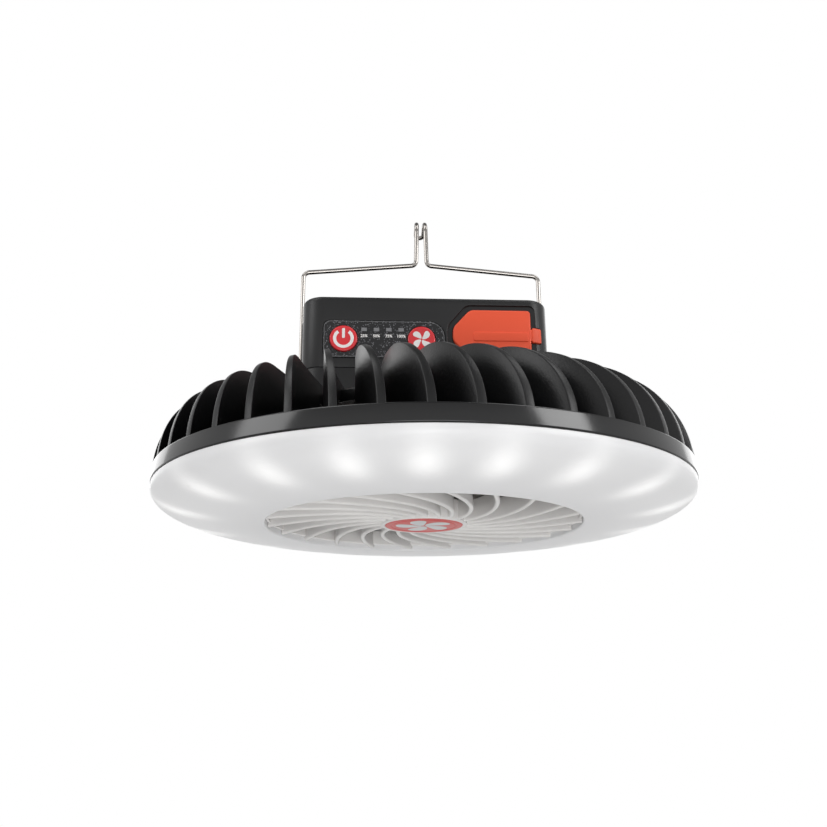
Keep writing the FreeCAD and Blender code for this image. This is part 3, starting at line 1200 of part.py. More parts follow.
def lamp_lead():
    """Lead from the control board down through the box and the deck to the lamp board."""
    riser = polar(LEAD_RISER_RADIUS, lead_angle())
    drop = polar(LEAD_CIRCLE_RADIUS, lead_angle())
    under = DECK_BOTTOM - LEAD_RADIUS - LOOSE
    board = FLOOR_BOTTOM - BOARD_THICKNESS
    low = board - LEAD_RADIUS - SEAM_GAP
    end = polar(BOARD_INNER_RADIUS + 2 * LEAD_RADIUS, lead_angle())
    top = PCB_LOW + LAMP_LEAD_RISE
    return bent_rod([
        (riser.x, PCB_BACK_Y, top, 0),
        (riser.x, riser.y, top, LEAD_BEND),
        (riser.x, riser.y, under, LEAD_BEND),
        (drop.x, drop.y, under, LEAD_BEND),
        (drop.x, drop.y, low, LEAD_BEND),
        (end.x, end.y, low, 0),
    ], LEAD_RADIUS)


def motor_lead():
    """Lead from the motor up through the deck, under the cells' tray and up to the control board."""
    run = BASE_FLOOR_TOP + TRAY_RAIL / 2
    riser_y = -MOTOR_LEAD_FRONT
    top = PCB_LOW + MOTOR_LEAD_RISE
    return bent_rod([
        (-LEAD_RISER_RADIUS, PCB_BACK_Y, top, 0),
        (-LEAD_RISER_RADIUS, riser_y, top, LEAD_BEND),
        (-LEAD_RISER_RADIUS, riser_y, run, LEAD_BEND),
        (-MOTOR_SCREW_CIRCLE_RADIUS, 0, run, LEAD_BEND),
        (-MOTOR_SCREW_CIRCLE_RADIUS, 0, MOTOR_TOP, 0),
    ], LEAD_RADIUS)


def save(name, shape):
    """Write one piece as its own node and report what it is."""
    solids = shape.Solids
    print("%-18s solids %2d valid %s volume %.1f" % (name, len(solids), shape.isValid(), shape.Volume))
    whole = solids[0] if len(solids) == 1 else Part.makeCompound(solids)
    whole.exportStep("parts/%s.step" % name)


def main():
    """Build and write every piece."""
    os.makedirs("parts", exist_ok=True)
    pieces = [
        lens_diffuser, fan_grille, hub_badge, fin_housing, lens_seal, lens_screws, led_board, led_chips,
        led_screws, impeller, motor_shaft, motor_can, motor_cap, motor_bearings, motor_rotor, motor_stator,
        motor_screws,
        box_base, box_cover, box_screws, control_panel, button_switches, indicator_lights, control_board,
        board_screws, usb_a_port, usb_c_port, port_flap, flap_strap, battery_cells, battery_holder,
        battery_contacts, battery_pad, hanger_wire, hanger_bushes, hanger_clips, lamp_lead, motor_lead,
    ]
    for piece in pieces:
        save(piece.__name__, piece())
    save("power_button", button(POWER_X))
    save("fan_button", button(FAN_KEY_X))


main()
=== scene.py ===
"""Portable camping fan with a ring lamp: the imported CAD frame, dressed with pieces, finishes and a studio.

Sizes are in millimetres and angles in degrees, unless a name or comment says otherwise.
"""
import logging
import math
from dataclasses import dataclass
from enum import Enum
from typing import Callable, Sequence

import bmesh
import bpy
import numpy as np
from mathutils import Matrix, Vector


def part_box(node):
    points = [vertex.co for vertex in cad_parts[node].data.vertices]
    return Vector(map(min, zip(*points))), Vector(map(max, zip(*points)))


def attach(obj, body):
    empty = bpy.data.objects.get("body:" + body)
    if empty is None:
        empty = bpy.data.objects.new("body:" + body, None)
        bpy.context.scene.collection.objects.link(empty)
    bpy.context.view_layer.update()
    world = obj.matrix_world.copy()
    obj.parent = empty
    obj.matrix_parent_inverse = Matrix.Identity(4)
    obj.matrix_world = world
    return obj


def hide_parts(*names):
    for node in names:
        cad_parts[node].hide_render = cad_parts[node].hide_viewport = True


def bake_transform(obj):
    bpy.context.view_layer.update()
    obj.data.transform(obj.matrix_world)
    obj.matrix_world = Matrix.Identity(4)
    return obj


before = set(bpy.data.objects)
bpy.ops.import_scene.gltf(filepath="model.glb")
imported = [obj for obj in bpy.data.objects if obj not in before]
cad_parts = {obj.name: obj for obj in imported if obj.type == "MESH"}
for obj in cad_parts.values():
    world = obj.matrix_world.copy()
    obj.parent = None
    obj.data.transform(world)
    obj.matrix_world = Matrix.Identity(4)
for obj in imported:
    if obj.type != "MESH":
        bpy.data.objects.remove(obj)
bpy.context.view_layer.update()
log = logging.getLogger("camping_fan")

MILLIMETRE = 0.001


class Body(Enum):
    """Bodies of the frame that pieces ride on."""

    HOUSING = "housing"
    ROTOR = "rotor"
    POWER_KEY = "power_key"
    FAN_KEY = "fan_key"
    FLAP = "flap"
    HANGER = "hanger"


class Facing(Enum):
    """Plane in which an outline (u, v) lies, and the direction of its layers."""

    UP = "outline in plan, layers along the fan's axis"
    FRONT = "outline on the box's front, layers from front to back"
    CORNER = "outline wrapped on the box's front right corner, layers outwards"


def hex_to_linear(code: str) -> tuple[float, float, float, float]:
    """Turn an sRGB hex colour into the linear colour that shaders take.

    Args:
        code: Six hex digits after a hash sign.

    Returns:
        Linear red, green and blue, and an alpha of 1.
    """
    parts = [int(code[place:place + 2], 16) / 255 for place in (1, 3, 5)]
    red, green, blue = (part / 12.92 if part <= 0.04045 else ((part + 0.055) / 1.055) ** 2.4
                        for part in parts)
    return red, green, blue, 1.0


def add_node(tree: bpy.types.NodeTree, kind: str, settings: dict | None = None,
             links: dict | None = None) -> bpy.types.Node:
    """Add one node with its settings and the sockets that feed it.

    Args:
        tree: Tree that gets the node.
        kind: Blender's name of the node type.
        settings: Values by input name or number, or by property name.
        links: Output sockets by input name or number.

    Returns:
        The new node.
    """
    node = tree.nodes.new(kind)
    for key, value in (settings or {}).items():
        if isinstance(key, int) or key in node.inputs:
            node.inputs[key].default_value = value
        else:
            setattr(node, key, value)
    for key, socket in (links or {}).items():
        tree.links.new(socket, node.inputs[key])
    return node


@dataclass(frozen=True)
class Finish:
    """A surface: what it is made of and how it was made, as colours, gloss and a fine relief.

    The colour and the gloss drift slowly between two values over patches, and the relief is a fine noise
    whose grain is a real size in millimetres.
    """

    name: str
    colour: str
    drift_colour: str
    roughness: float
    drift_roughness: float
    grain: float = 0.5
    relief: float = 0.01
    patch: float = 30.0
    metallic: float = 0.0
    specular: float = 0.5

    def material(self) -> bpy.types.Material:
        """Give the material of this finish, made on first use."""
        found = bpy.data.materials.get(self.name)
        if found:
            return found
        made = bpy.data.materials.new(self.name)
        made.use_nodes = True
        made.node_tree.nodes.clear()
        self.build(made.node_tree)
        return made

    def build(self, tree: bpy.types.NodeTree) -> None:
        """Put the nodes of this finish into a tree."""
        place = add_node(tree, "ShaderNodeTexCoord").outputs["Object"]
        surface = self.shader(tree, place)
        add_node(tree, "ShaderNodeOutputMaterial", links={"Surface": surface.outputs["BSDF"]})

    def shader(self, tree: bpy.types.NodeTree, place: bpy.types.NodeSocket) -> bpy.types.Node:
        """Add the surface shader with its drifting colour and gloss and its relief.

        Args:
            tree: Tree of the material.
            place: Object coordinates.

        Returns:
            The surface shader's node.
        """
        patches = add_node(tree, "ShaderNodeTexNoise", {"Scale": 1000 / self.patch, "Detail": 3.0},
                           {"Vector": place}).outputs["Fac"]
        colour = add_node(tree, "ShaderNodeMix", {"data_type": "RGBA", 6: hex_to_linear(self.colour),
                                                  7: hex_to_linear(self.drift_colour)}, {0: patches})
        gloss = add_node(tree, "ShaderNodeMapRange", {
            "From Min": 0.3, "From Max": 0.7, "To Min": self.roughness, "To Max": self.drift_roughness,
        }, {"Value": patches})
        bump = add_node(tree, "ShaderNodeBump", {"Strength": 1.0, "Distance": self.relief * MILLIMETRE},
                        {"Height": self.height(tree, place)})
        return add_node(tree, "ShaderNodeBsdfPrincipled", {
            "Metallic": self.metallic, "Specular IOR Level": self.specular,
        }, {
            "Base Color": colour.outputs[2], "Roughness": gloss.outputs["Result"],
            "Normal": bump.outputs["Normal"],
        })

    def height(self, tree: bpy.types.NodeTree, place: bpy.types.NodeSocket) -> bpy.types.NodeSocket:
        """Give the relief's height from 0 to 1: here a noise of the finish's own grain."""
        return add_node(tree, "ShaderNodeTexNoise", {"Scale": 1000 / self.grain, "Detail": 2.0},
                        {"Vector": place}).outputs["Fac"]


@dataclass(frozen=True)
class LitFinish(Finish):
    """A translucent moulding with lamps behind it, which glows where the mesh's attribute says."""

    glow_colour: str = "#ffffff"
    glow_strength: float = 1.0

    def shader(self, tree: bpy.types.NodeTree, place: bpy.types.NodeSocket) -> bpy.types.Node:
        """Add the surface shader and, on top of it, the glow."""
        surface = super().shader(tree, place)
        glow = add_node(tree, "ShaderNodeAttribute", {"attribute_name": "glow"}).outputs["Fac"]
        colour = add_node(tree, "ShaderNodeMix", {"data_type": "RGBA", 6: (0, 0, 0, 1),
                                                  7: hex_to_linear(self.glow_colour)}, {0: glow})
        tree.links.new(colour.outputs[2], surface.inputs["Emission Color"])
        surface.inputs["Emission Strength"].default_value = self.glow_strength
        return surface


@dataclass(frozen=True)
class SpeckledFinish(Finish):
    """A film with fine pale specks in it."""

    speck_colour: str = "#77777b"
    speck: float = 0.36
    share: float = 0.12
    softness: float = 0.06

    def shader(self, tree: bpy.types.NodeTree, place: bpy.types.NodeSocket) -> bpy.types.Node:
        """Add the surface shader and mix the specks into its colour: the cells of noise under the share."""
        surface = super().shader(tree, place)
        cells = add_node(tree, "ShaderNodeTexVoronoi", {"Scale": 1000 / self.speck, "Randomness": 1.0},
                         {"Vector": place})
        chance = add_node(tree, "ShaderNodeSeparateColor", links={"Color": cells.outputs["Color"]})
        mask = add_node(tree, "ShaderNodeMapRange", {
            "From Min": self.share, "From Max": self.share - self.softness,
        }, {"Value": chance.outputs["Red"]})
        ground = surface.inputs["Base Color"].links[0].from_socket
        mixed = add_node(tree, "ShaderNodeMix", {"data_type": "RGBA", 7: hex_to_linear(self.speck_colour)},
                         {0: mask.outputs["Result"], 6: ground})
        tree.links.new(mixed.outputs[2], surface.inputs["Base Color"])
        return surface


@dataclass(frozen=True)
class DrawnFinish(Finish):
    """Wire drawn through a die: fine lines that run along it."""

    stretch: tuple[float, float, float] = (1.0, 1.0, 0.06)

    def height(self, tree: bpy.types.NodeTree, place: bpy.types.NodeSocket) -> bpy.types.NodeSocket:
        """Give the drawing lines' height: noise drawn out along the wire's long direction."""
        drawn = add_node(tree, "ShaderNodeMapping", {"Scale": self.stretch}, {"Vector": place})
        return add_node(tree, "ShaderNodeTexNoise", {"Scale": 1000 / self.grain, "Detail": 2.0},
                        {"Vector": drawn.outputs["Vector"]}).outputs["Fac"]


# ABS moulded in a polished tool: deep black with clear, slightly wavy highlights
GLOSS_BLACK = Finish("abs_black_polished", "#111112", "#151516", 0.12, 0.17, grain=1.6, relief=0.006,
                     specular=0.42)
# ABS moulded in a spark-eroded tool: black, whose satin grain, about 0.7 mm as it shows, sparkles near a lamp
SATIN_BLACK = Finish("abs_black_satin", "#0c0c0d", "#111112", 0.33, 0.40, grain=0.7, relief=0.06,
                     specular=0.3)
# ABS shell of the box, a little lighter than the fins
BOX_BLACK = Finish("abs_black_box", "#141415", "#181819", 0.36, 0.44, grain=0.5, relief=0.012, specular=0.33)
# Opal acrylic lamp lens: milky white with a soft gloss, brighter over the lamp chips
OPAL = LitFinish("acrylic_opal", "#dcdcdd", "#e0e0e1", 0.34, 0.40, grain=0.8, relief=0.003,
                 glow_colour="#fffefb", glow_strength=0.5)
# ABS of the grille: warm light grey, smooth
GRILLE_GREY = Finish("abs_light_grey", "#dddbd9", "#e2e0de", 0.36, 0.44, grain=0.5, relief=0.004)
# Fan wheel in glass-filled nylon: warm grey and slightly dull
WHEEL_GREY = Finish("nylon_warm_grey", "#a59f9b", "#ada7a3", 0.45, 0.55, grain=0.4, relief=0.01)
# Lacquered aluminium badge: red with pale grey leaves, satin
BADGE_RED = Finish("lacquered_aluminium_red", "#c0281f", "#c82d23", 0.34, 0.40, grain=0.3, relief=0.003)
BADGE_GREY = Finish("lacquer_pale_grey", "#c9cccd", "#cfd2d3", 0.40, 0.46, grain=0.3, relief=0.003)
# Polycarbonate film with fine pale specks, as on printed front panels
PANEL_FILM = SpeckledFinish("polycarbonate_film_speckled", "#131315", "#171719", 0.38, 0.46, grain=0.3,
                            relief=0.006, specular=0.35)
# Grey paint of the thin line round the panel: a painted highlight, standing for light caught along the rim of
# the panel's pocket
PAINTED_RIM_HIGHLIGHT_GREY = Finish("painted_rim_highlight_grey", "#707072", "#78787a", 0.55, 0.62, grain=0.2, relief=0.002)
# White printing ink of the numbers and of the signs on the buttons
PRINT_WHITE = Finish("ink_white", "#f2f0ee", "#f7f5f3", 0.50, 0.58, grain=0.2, relief=0.002)
# ABS of the buttons: red, smooth
BUTTON_RED = Finish("abs_red", "#dc2e36", "#e0343b", 0.28, 0.34, grain=0.6, relief=0.004)
# Smoky polycarbonate of the indicator windows
WINDOW_GREY = Finish("polycarbonate_smoky", "#77777a", "#7e7e81", 0.20, 0.26, grain=0.6, relief=0.003)
# Thermoplastic rubber of the flap: orange-red and matt
RUBBER_ORANGE = Finish("rubber_orange", "#ec5636", "#f05d3c", 0.48, 0.56, grain=0.25, relief=0.01,
                       specular=0.35)
# Stainless steel wire, drawn and polished; the drawing lines are shown about 0.2 mm apart, coarser than real
WIRE_STEEL = DrawnFinish("stainless_steel_drawn", "#989490", "#a39f9b", 0.10, 0.14, grain=0.2, relief=0.003,
                         patch=12.0, metallic=1.0)
# Zinc-plated steel of the screws and the shaft
SCREW_STEEL = Finish("steel_zinc_plated", "#b9bbbd", "#c4c6c8", 0.28, 0.36, grain=0.3, relief=0.004,
                     metallic=1.0)
# Acetal bushes: black and waxy
ACETAL_BLACK = Finish("acetal_black", "#1c1c1c", "#202020", 0.40, 0.48, grain=0.5, relief=0.004)
# Soft rubber seal
SEAL_RUBBER = Finish("rubber_grey", "#3c3c3c", "#444444", 0.70, 0.80, grain=0.3, relief=0.01)
# White solder resist over glass fibre board, and green for the control board
BOARD_WHITE = Finish("solder_resist_white", "#e8e8e4", "#eeeeea", 0.35, 0.42, grain=0.4, relief=0.006)
BOARD_GREEN = Finish("solder_resist_green", "#1f5a36", "#24653d", 0.32, 0.40, grain=0.4, relief=0.006)
# Phosphor of the lamp chips
CHIP_YELLOW = Finish("phosphor_yellow", "#e6cf5a", "#ecd768", 0.50, 0.58, grain=0.2, relief=0.01)
# Moulded switch bodies, magnet, stator iron with lacquered copper, plated sockets and contacts
SWITCH_BLACK = Finish("nylon_black", "#1e1e1e", "#232323", 0.45, 0.52, grain=0.3, relief=0.008)
MAGNET_GREY = Finish("ferrite_grey", "#3d3d40", "#46464a", 0.55, 0.62, grain=0.2, relief=0.01)
WINDING_COPPER = Finish("copper_lacquered", "#b4622f", "#c06d36", 0.30, 0.38, grain=0.4, relief=0.02,
                        metallic=1.0)
PLATED_NICKEL = Finish("steel_nickel_plated", "#c2c0b8", "#cdcbc3", 0.24, 0.32, grain=0.3, relief=0.003,
                       metallic=1.0)
# Shrink film on the cells, foam pad, tray and leads
CELL_FILM = Finish("shrink_film_teal", "#2f7c86", "#35858f", 0.30, 0.38, grain=0.8, relief=0.01)
TRAY_BLACK = Finish("polypropylene_black", "#242424", "#292929", 0.50, 0.58, grain=0.4, relief=0.01)
FOAM_GREY = Finish("foam_grey", "#55565a", "#606166", 0.85, 0.95, grain=0.6, relief=0.08)
LEAD_RED = Finish("pvc_red", "#b3201c", "#bd2723", 0.42, 0.50, grain=0.5, relief=0.006)
LEAD_BLACK = Finish("pvc_black", "#1b1b1b", "#202020", 0.42, 0.50, grain=0.5, relief=0.006)


class Skin:
    """Points and faces of one piece, gathered from surfaces on grids, in millimetres."""

    def __init__(self) -> None:
        """Start with nothing."""
        self.points: list[np.ndarray] = []
        self.faces: list[list[int]] = []
        self.count = 0

    def grid(self, points: np.ndarray, close_rows: bool = False, close_columns: bool = False,
             caps: bool = False) -> None:
        """Add a surface given by rows of points, with four-sided faces between neighbours.

        Args:
            points: Array of rows, columns and the three coordinates.
            close_rows: Whether the last row joins the first.
            close_columns: Whether each row's last point joins its first.
            caps: Whether the first and the last row are closed by one face each.
        """
        rows, columns = points.shape[:2]
        index = np.arange(rows * columns).reshape(rows, columns) + self.count
        if close_rows:
            index = np.vstack([index, index[:1]])
        if close_columns:
            index = np.hstack([index, index[:, :1]])
        quads = np.stack([index[:-1, :-1], index[1:, :-1], index[1:, 1:], index[:-1, 1:]], axis=-1)
        self.faces += quads.reshape(-1, 4).tolist()
        if caps:
            self.faces += [index[0, :columns][::-1].tolist(), index[-1, :columns].tolist()]
        self.points.append(points.reshape(-1, 3))
        self.count += rows * columns

    def mesh(self, name: str, sharp: float = 35.0) -> bpy.types.Mesh:
        """Make the mesh, in metres, with its doubles merged and its faces turned outwards.

        Args:
            name: Name of the mesh.
            sharp: Angle over which an edge is shaded sharp.

        Returns:
            The mesh.
        """
        mesh = bpy.data.meshes.new(name)
        mesh.from_pydata((np.concatenate(self.points) * MILLIMETRE).tolist(), [], self.faces)
        work = bmesh.new()
        work.from_mesh(mesh)
        bmesh.ops.remove_doubles(work, verts=work.verts, dist=1e-6)
        bmesh.ops.dissolve_degenerate(work, edges=work.edges, dist=1e-7)
        bmesh.ops.recalc_face_normals(work, faces=work.faces)
        work.to_mesh(mesh)
        work.free()
        smooth(mesh, sharp)
        return mesh


def smooth(mesh: bpy.types.Mesh, sharp: float) -> None:
    """Shade a mesh smooth, apart from edges sharper than an angle."""
    mesh.polygons.foreach_set("use_smooth", np.ones(len(mesh.polygons), dtype=bool))
    mesh.set_sharp_from_angle(angle=math.radians(sharp))
    mesh.update()


def piece(name: str, mesh: bpy.types.Mesh, finish: Finish, body: Body,
          replaces: Sequence[str] = ()) -> bpy.types.Object:
    """Put a finished piece into the scene.

    Args:
        name: Name of the piece.
        mesh: Its mesh, in metres, in place.
        finish: Its surface.
        body: Body that it rides on.
        replaces: CAD nodes that it stands for.

    Returns:
        The piece's object.
    """
    item = bpy.data.objects.new(name, mesh)
    bpy.context.scene.collection.objects.link(item)
    mesh.materials.clear()
    mesh.materials.append(finish.material())
    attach(item, body.value)
    if replaces:
        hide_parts(*replaces)
    log.info("%s: %d faces", name, len(mesh.polygons))
    return item


def unit(vectors: np.ndarray) -> np.ndarray:
    """Scale vectors to length 1."""
    return vectors / np.maximum(np.linalg.norm(vectors, axis=-1, keepdims=True), 1e-12)


def rounded(corners: np.ndarray, radii: Sequence[float], steps: int = 6) -> np.ndarray:
    """Line through corners, each turned by an arc tangent to both its sides.

    The arc's centre lies on the bisector, radius / sin(half angle) from the corner, and its points turn
    evenly from one tangent point to the other. A corner of radius 0 stays as it is.

    Args:
        corners: Corners of a closed outline, in two or three coordinates. The ends of an open line have
            radius 0.
        radii: Radius at each corner.
        steps: Steps along each arc.

    Returns:
        Points along the line.
    """
    radius = np.asarray(radii, float)[:, None]
    back = unit(np.roll(corners, 1, axis=0) - corners)
    onward = unit(np.roll(corners, -1, axis=0) - corners)
    half = np.arccos(np.clip((back * onward).sum(axis=1, keepdims=True), -1, 1)) / 2
    half = np.clip(half, 1e-3, math.pi / 2 - 1e-4)
    centre = corners + unit(back + onward) * radius / np.sin(half)
    start = corners + back * radius / np.tan(half) - centre
    end = corners + onward * radius / np.tan(half) - centre
    sweep = (math.pi - 2 * half)[:, :, None]
    share = np.linspace(0, 1, steps + 1)[None, :, None]
    arc = np.sin((1 - share) * sweep) * start[:, None] + np.sin(share * sweep) * end[:, None]
    return (centre[:, None] + arc / np.sin(sweep)).reshape(-1, corners.shape[1])


def quarter(edge: float, steps: int = 4) -> list[tuple[float, float]]:
    """Steps of a rounded edge as (grow, depth), from minus the edge and 0 to 0 and the edge."""
    turns = np.linspace(0, math.pi / 2, steps + 1)
    return [(edge * (math.sin(turn) - 1), edge * (1 - math.cos(turn))) for turn in turns]


def stand(flat: np.ndarray, height: np.ndarray, facing: Facing) -> np.ndarray:
    """Stand outline points (u, v) at a height, in the plane that the facing gives.

    Args:
        flat: Array with u and v as its last axis.
        height: Layer's place, of a shape that fits.
        facing: Plane of the outline.

    Returns:
        Array with x, y and z as its last axis.
    """
    u, v = flat[..., 0], flat[..., 1]
    height = np.broadcast_to(height, u.shape)
    if facing is Facing.UP:
        return np.stack([u, v, height], axis=-1)
    if facing is Facing.FRONT:
        return np.stack([u, height, v], axis=-1)
    turn = u / Box.corner
    reach = Box.corner + height
    return np.stack([Box.half_width - Box.corner + reach * np.sin(turn),
                     Box.corner - Box.half_depth - reach * np.cos(turn), v], axis=-1)


def layers(skin: Skin, outline: Callable[[float], np.ndarray], rows: Sequence[tuple[float, float]],
           facing: Facing, loop: bool = False) -> None:
    """Add a closed body made of an outline in layers, each grown or shrunk and at its own place.

    Args:
        skin: Skin that gets the surface.
        outline: Gives the outline's points for a growth.
        rows: Growth and place of each layer.
        facing: Plane of the outline.
        loop: Whether the last layer joins the first, instead of both being capped.
    """
    points = np.stack([stand(outline(grow), np.float64(place), facing) for grow, place in rows])
    skin.grid(points, close_rows=loop, close_columns=True, caps=not loop)


def revolve(skin: Skin, profile: np.ndarray, steps: int, centre: tuple[float, float] = (0.0, 0.0),
            facing: Facing = Facing.UP) -> None:
    """Add a surface of revolution of a closed profile of points (radius, height).

    Args:
        skin: Skin that gets the surface.
        profile: Points of the profile, the last of which joins the first.
        steps: Steps round the axis.
        centre: Place of the axis in the outline's plane.
        facing: Direction of the axis.
    """
    turn = np.linspace(0, 2 * math.pi, steps, endpoint=False)[:, None]
    radius, height = profile[None, :, 0], profile[None, :, 1]
    flat = np.stack([centre[0] + radius * np.cos(turn), centre[1] + radius * np.sin(turn)], axis=-1)
    skin.grid(stand(flat, height, facing), close_rows=True, close_columns=True)


def sided(radius: np.ndarray, angle: Callable[[np.ndarray], np.ndarray], offset: np.ndarray) -> np.ndarray:
    """Points beside a spiral plan line, each at its own radius and a distance off the line.

    Off the line by a distance square to it is off by distance times root(1 + (radius times the angle's slope)
    squared) along the circle, so each point is turned by that over its radius.

    Args:
        radius: Radii of the points.
        angle: Gives the line's angle in radians at a radius.
        offset: Signed distance from the line.

    Returns:
        Plan coordinates x and y as the last axis.
    """
    slope = (angle(radius + 0.01) - angle(radius - 0.01)) / 0.02
    turn = angle(radius) + offset * np.sqrt(1 + (radius * slope) ** 2) / radius
    return radius[..., None] * np.stack([np.cos(turn), np.sin(turn)], axis=-1)


def tube(skin: Skin, path: np.ndarray, radius: float, sides: int = 14) -> None:
    """Add a round tube along a path, with its rings square to it and its ends rounded.

    Each ring's first direction is the part of the diagonal (1, 1, 1) that is square to the path.

    Args:
        skin: Skin that gets the surface.
        path: Points along the middle.
        radius: Radius of the tube.
        sides: Points round a ring.
    """
    along = unit(np.gradient(path, axis=0))
    diagonal = np.ones(3) / math.sqrt(3)
    first = unit(diagonal - (along @ diagonal)[:, None] * along)
    second = np.cross(along, first)
    turn = np.linspace(0, 2 * math.pi, sides, endpoint=False)[None, :, None]
    ring = first[:, None] * np.cos(turn) + second[:, None] * np.sin(turn)
    rows = path[:, None] + ring * radius
    rounding = [(0.5, -0.5), (0.85, -0.25)]
    tips = [path[0] + (ring[0] * share + along[0] * step) * radius for share, step in rounding]
    ends = [path[-1] + (ring[-1] * share - along[-1] * step) * radius for share, step in rounding[::-1]]
    skin.grid(np.concatenate([np.stack(tips), rows, np.stack(ends)]), close_columns=True, caps=True)


def leaves(count: int, reach: float, start: float) -> list[np.ndarray]:
    """Outlines of a plain fan sign: equal leaves round a middle.

    A leaf is a closed loop along its own middle line, whose width swells towards the tip, and the line turns
    a little as it goes outwards.

    Args:
        count: Number of leaves.
        reach: Radius of their tips.
        start: Angle of the first leaf.

    Returns:
        Plan outline of each leaf.
    """
    turn = np.linspace(0, 2 * math.pi, 32, endpoint=False)
    along = reach * (0.54 + 0.46 * np.cos(turn))
    side = 0.40 * reach * np.sin(turn) * (0.30 + 0.70 * along / reach)
    bent = 0.35 * along / reach
    loop = np.stack([along * np.cos(bent) - side * np.sin(bent),
                     along * np.sin(bent) + side * np.cos(bent)], axis=1)
    angles = np.radians(start + np.arange(count) * 360 / count)
    return [loop @ np.array([[math.cos(angle), math.sin(angle)], [-math.sin(angle), math.cos(angle)]])
            for angle in angles]


@dataclass
class Lens:
    """White ring-shaped lens of the lamp, from its opening's edge up to its spigot under the band."""

    rim_radius: float = 115.0
    opening_radius: float = 68.0
    flat_radius: float = 78.0
    corner_height: float = 11.2
    seam_height: float = 13.0
    wall: float = 2.0
    spigot_outer: float = 112.4
    spigot_inner: float = 110.5
    spigot_top: float = 15.8
    collar_top: float = 17.2
    collar_low: float = 9.4
    opening_edge: float = 0.8
    rim_edge: float = 0.35
    chip_radius: float = 102.4
    chip_count: int = 18
    chip_start: float = -93.3
    chip_crowding: float = 8.9
    glow_spread: tuple[float, float] = (7.6, 4.6)
    halo_radius: float = 106.0
    halo_spread: tuple[float, float] = (22.0, 8.0)
    glow_shares: tuple[float, float] = (0.6, 0.2)

    def profile(self) -> np.ndarray:
        """Closed profile: quarter ellipses outside and inside, joined by collar, side and spigot."""
        turn = np.linspace(0, math.pi / 2, 40)
        outer = np.stack([self.flat_radius + (self.rim_radius - self.flat_radius) * np.sin(turn),
                          self.corner_height * (1 - np.cos(turn))], axis=1)
        reach = (self.spigot_inner - self.flat_radius) / (self.rim_radius - self.wall - self.flat_radius)
        turn = np.linspace(math.asin(reach), 0, 16)
        inner = np.stack([self.flat_radius + (self.rim_radius - self.wall - self.flat_radius) * np.sin(turn),
                          self.corner_height - (self.corner_height - self.wall) * np.cos(turn)], axis=1)
        edge = rounded(np.array([(self.opening_radius, self.wall), (self.opening_radius, 0.0),
                                 (self.flat_radius, 0.0)]), (0, self.opening_edge, 0), 5)[6:12]
        shoulder = rounded(np.array([(self.rim_radius, self.corner_height),
                                     (self.rim_radius, self.seam_height),
                                     (self.spigot_outer, self.seam_height)]), (0, self.rim_edge, 0), 3)[4:8]
        collar = [(self.opening_radius + self.wall, self.wall),
                  (self.opening_radius + self.wall, self.collar_top),
                  (self.opening_radius, self.collar_top), (self.opening_radius, self.collar_low)]
        rim = [(self.spigot_outer, self.seam_height), (self.spigot_outer, self.spigot_top),
               (self.spigot_inner, self.spigot_top)]
        flat = np.stack([np.linspace(self.opening_radius + self.wall, self.flat_radius - 0.5, 6),
                         np.zeros(6)], axis=1)
        return np.concatenate([edge, flat, outer, shoulder, rim, inner, collar])

    def chips(self) -> np.ndarray:
        """Plan places of the chips: even angles less a sine of their double, so crowded to front and back."""
        even = np.arange(self.chip_count) * 2 * math.pi / self.chip_count
        angle = np.radians(self.chip_start) + even - np.radians(self.chip_crowding) * np.sin(2 * even)
        return self.chip_radius * np.stack([np.cos(angle), np.sin(angle)], axis=1)

    def build(self) -> None:
        """Build the lens, and mark its glow.

        Over each chip it is a bell curve of the plan distance, longer along the radius than across it, and
        under all of them a wider bell round the ring, which reaches further inwards than outwards.
        """
        skin = Skin()
        revolve(skin, self.profile(), 288)
        mesh = skin.mesh("lens_ring", 40)
        place = np.empty(len(mesh.vertices) * 3, np.float32)
        mesh.vertices.foreach_get("co", place)
        plan = place.reshape(-1, 3)[:, :2] / MILLIMETRE
        outwards = self.chips() / self.chip_radius
        apart = plan[:, None] - self.chips()[None]
        along = (apart * outwards).sum(axis=2) / self.glow_spread[0]
        across = (apart[..., 0] * outwards[:, 1] - apart[..., 1] * outwards[:, 0]) / self.glow_spread[1]
        spots = np.exp(-0.5 * (along ** 2 + across ** 2)).sum(axis=1)
        away = np.linalg.norm(plan, axis=1) - self.halo_radius
        halo = np.exp(-0.5 * (away / np.where(away < 0, *self.halo_spread)) ** 2)
        glow = np.clip(self.glow_shares[0] * spots + self.glow_shares[1] * halo, 0, 1)
        mesh.attributes.new("glow", "FLOAT", "POINT").data.foreach_set("value", glow)
        piece("lens_ring", mesh, OPAL, Body.HOUSING, ["lens_diffuser"])


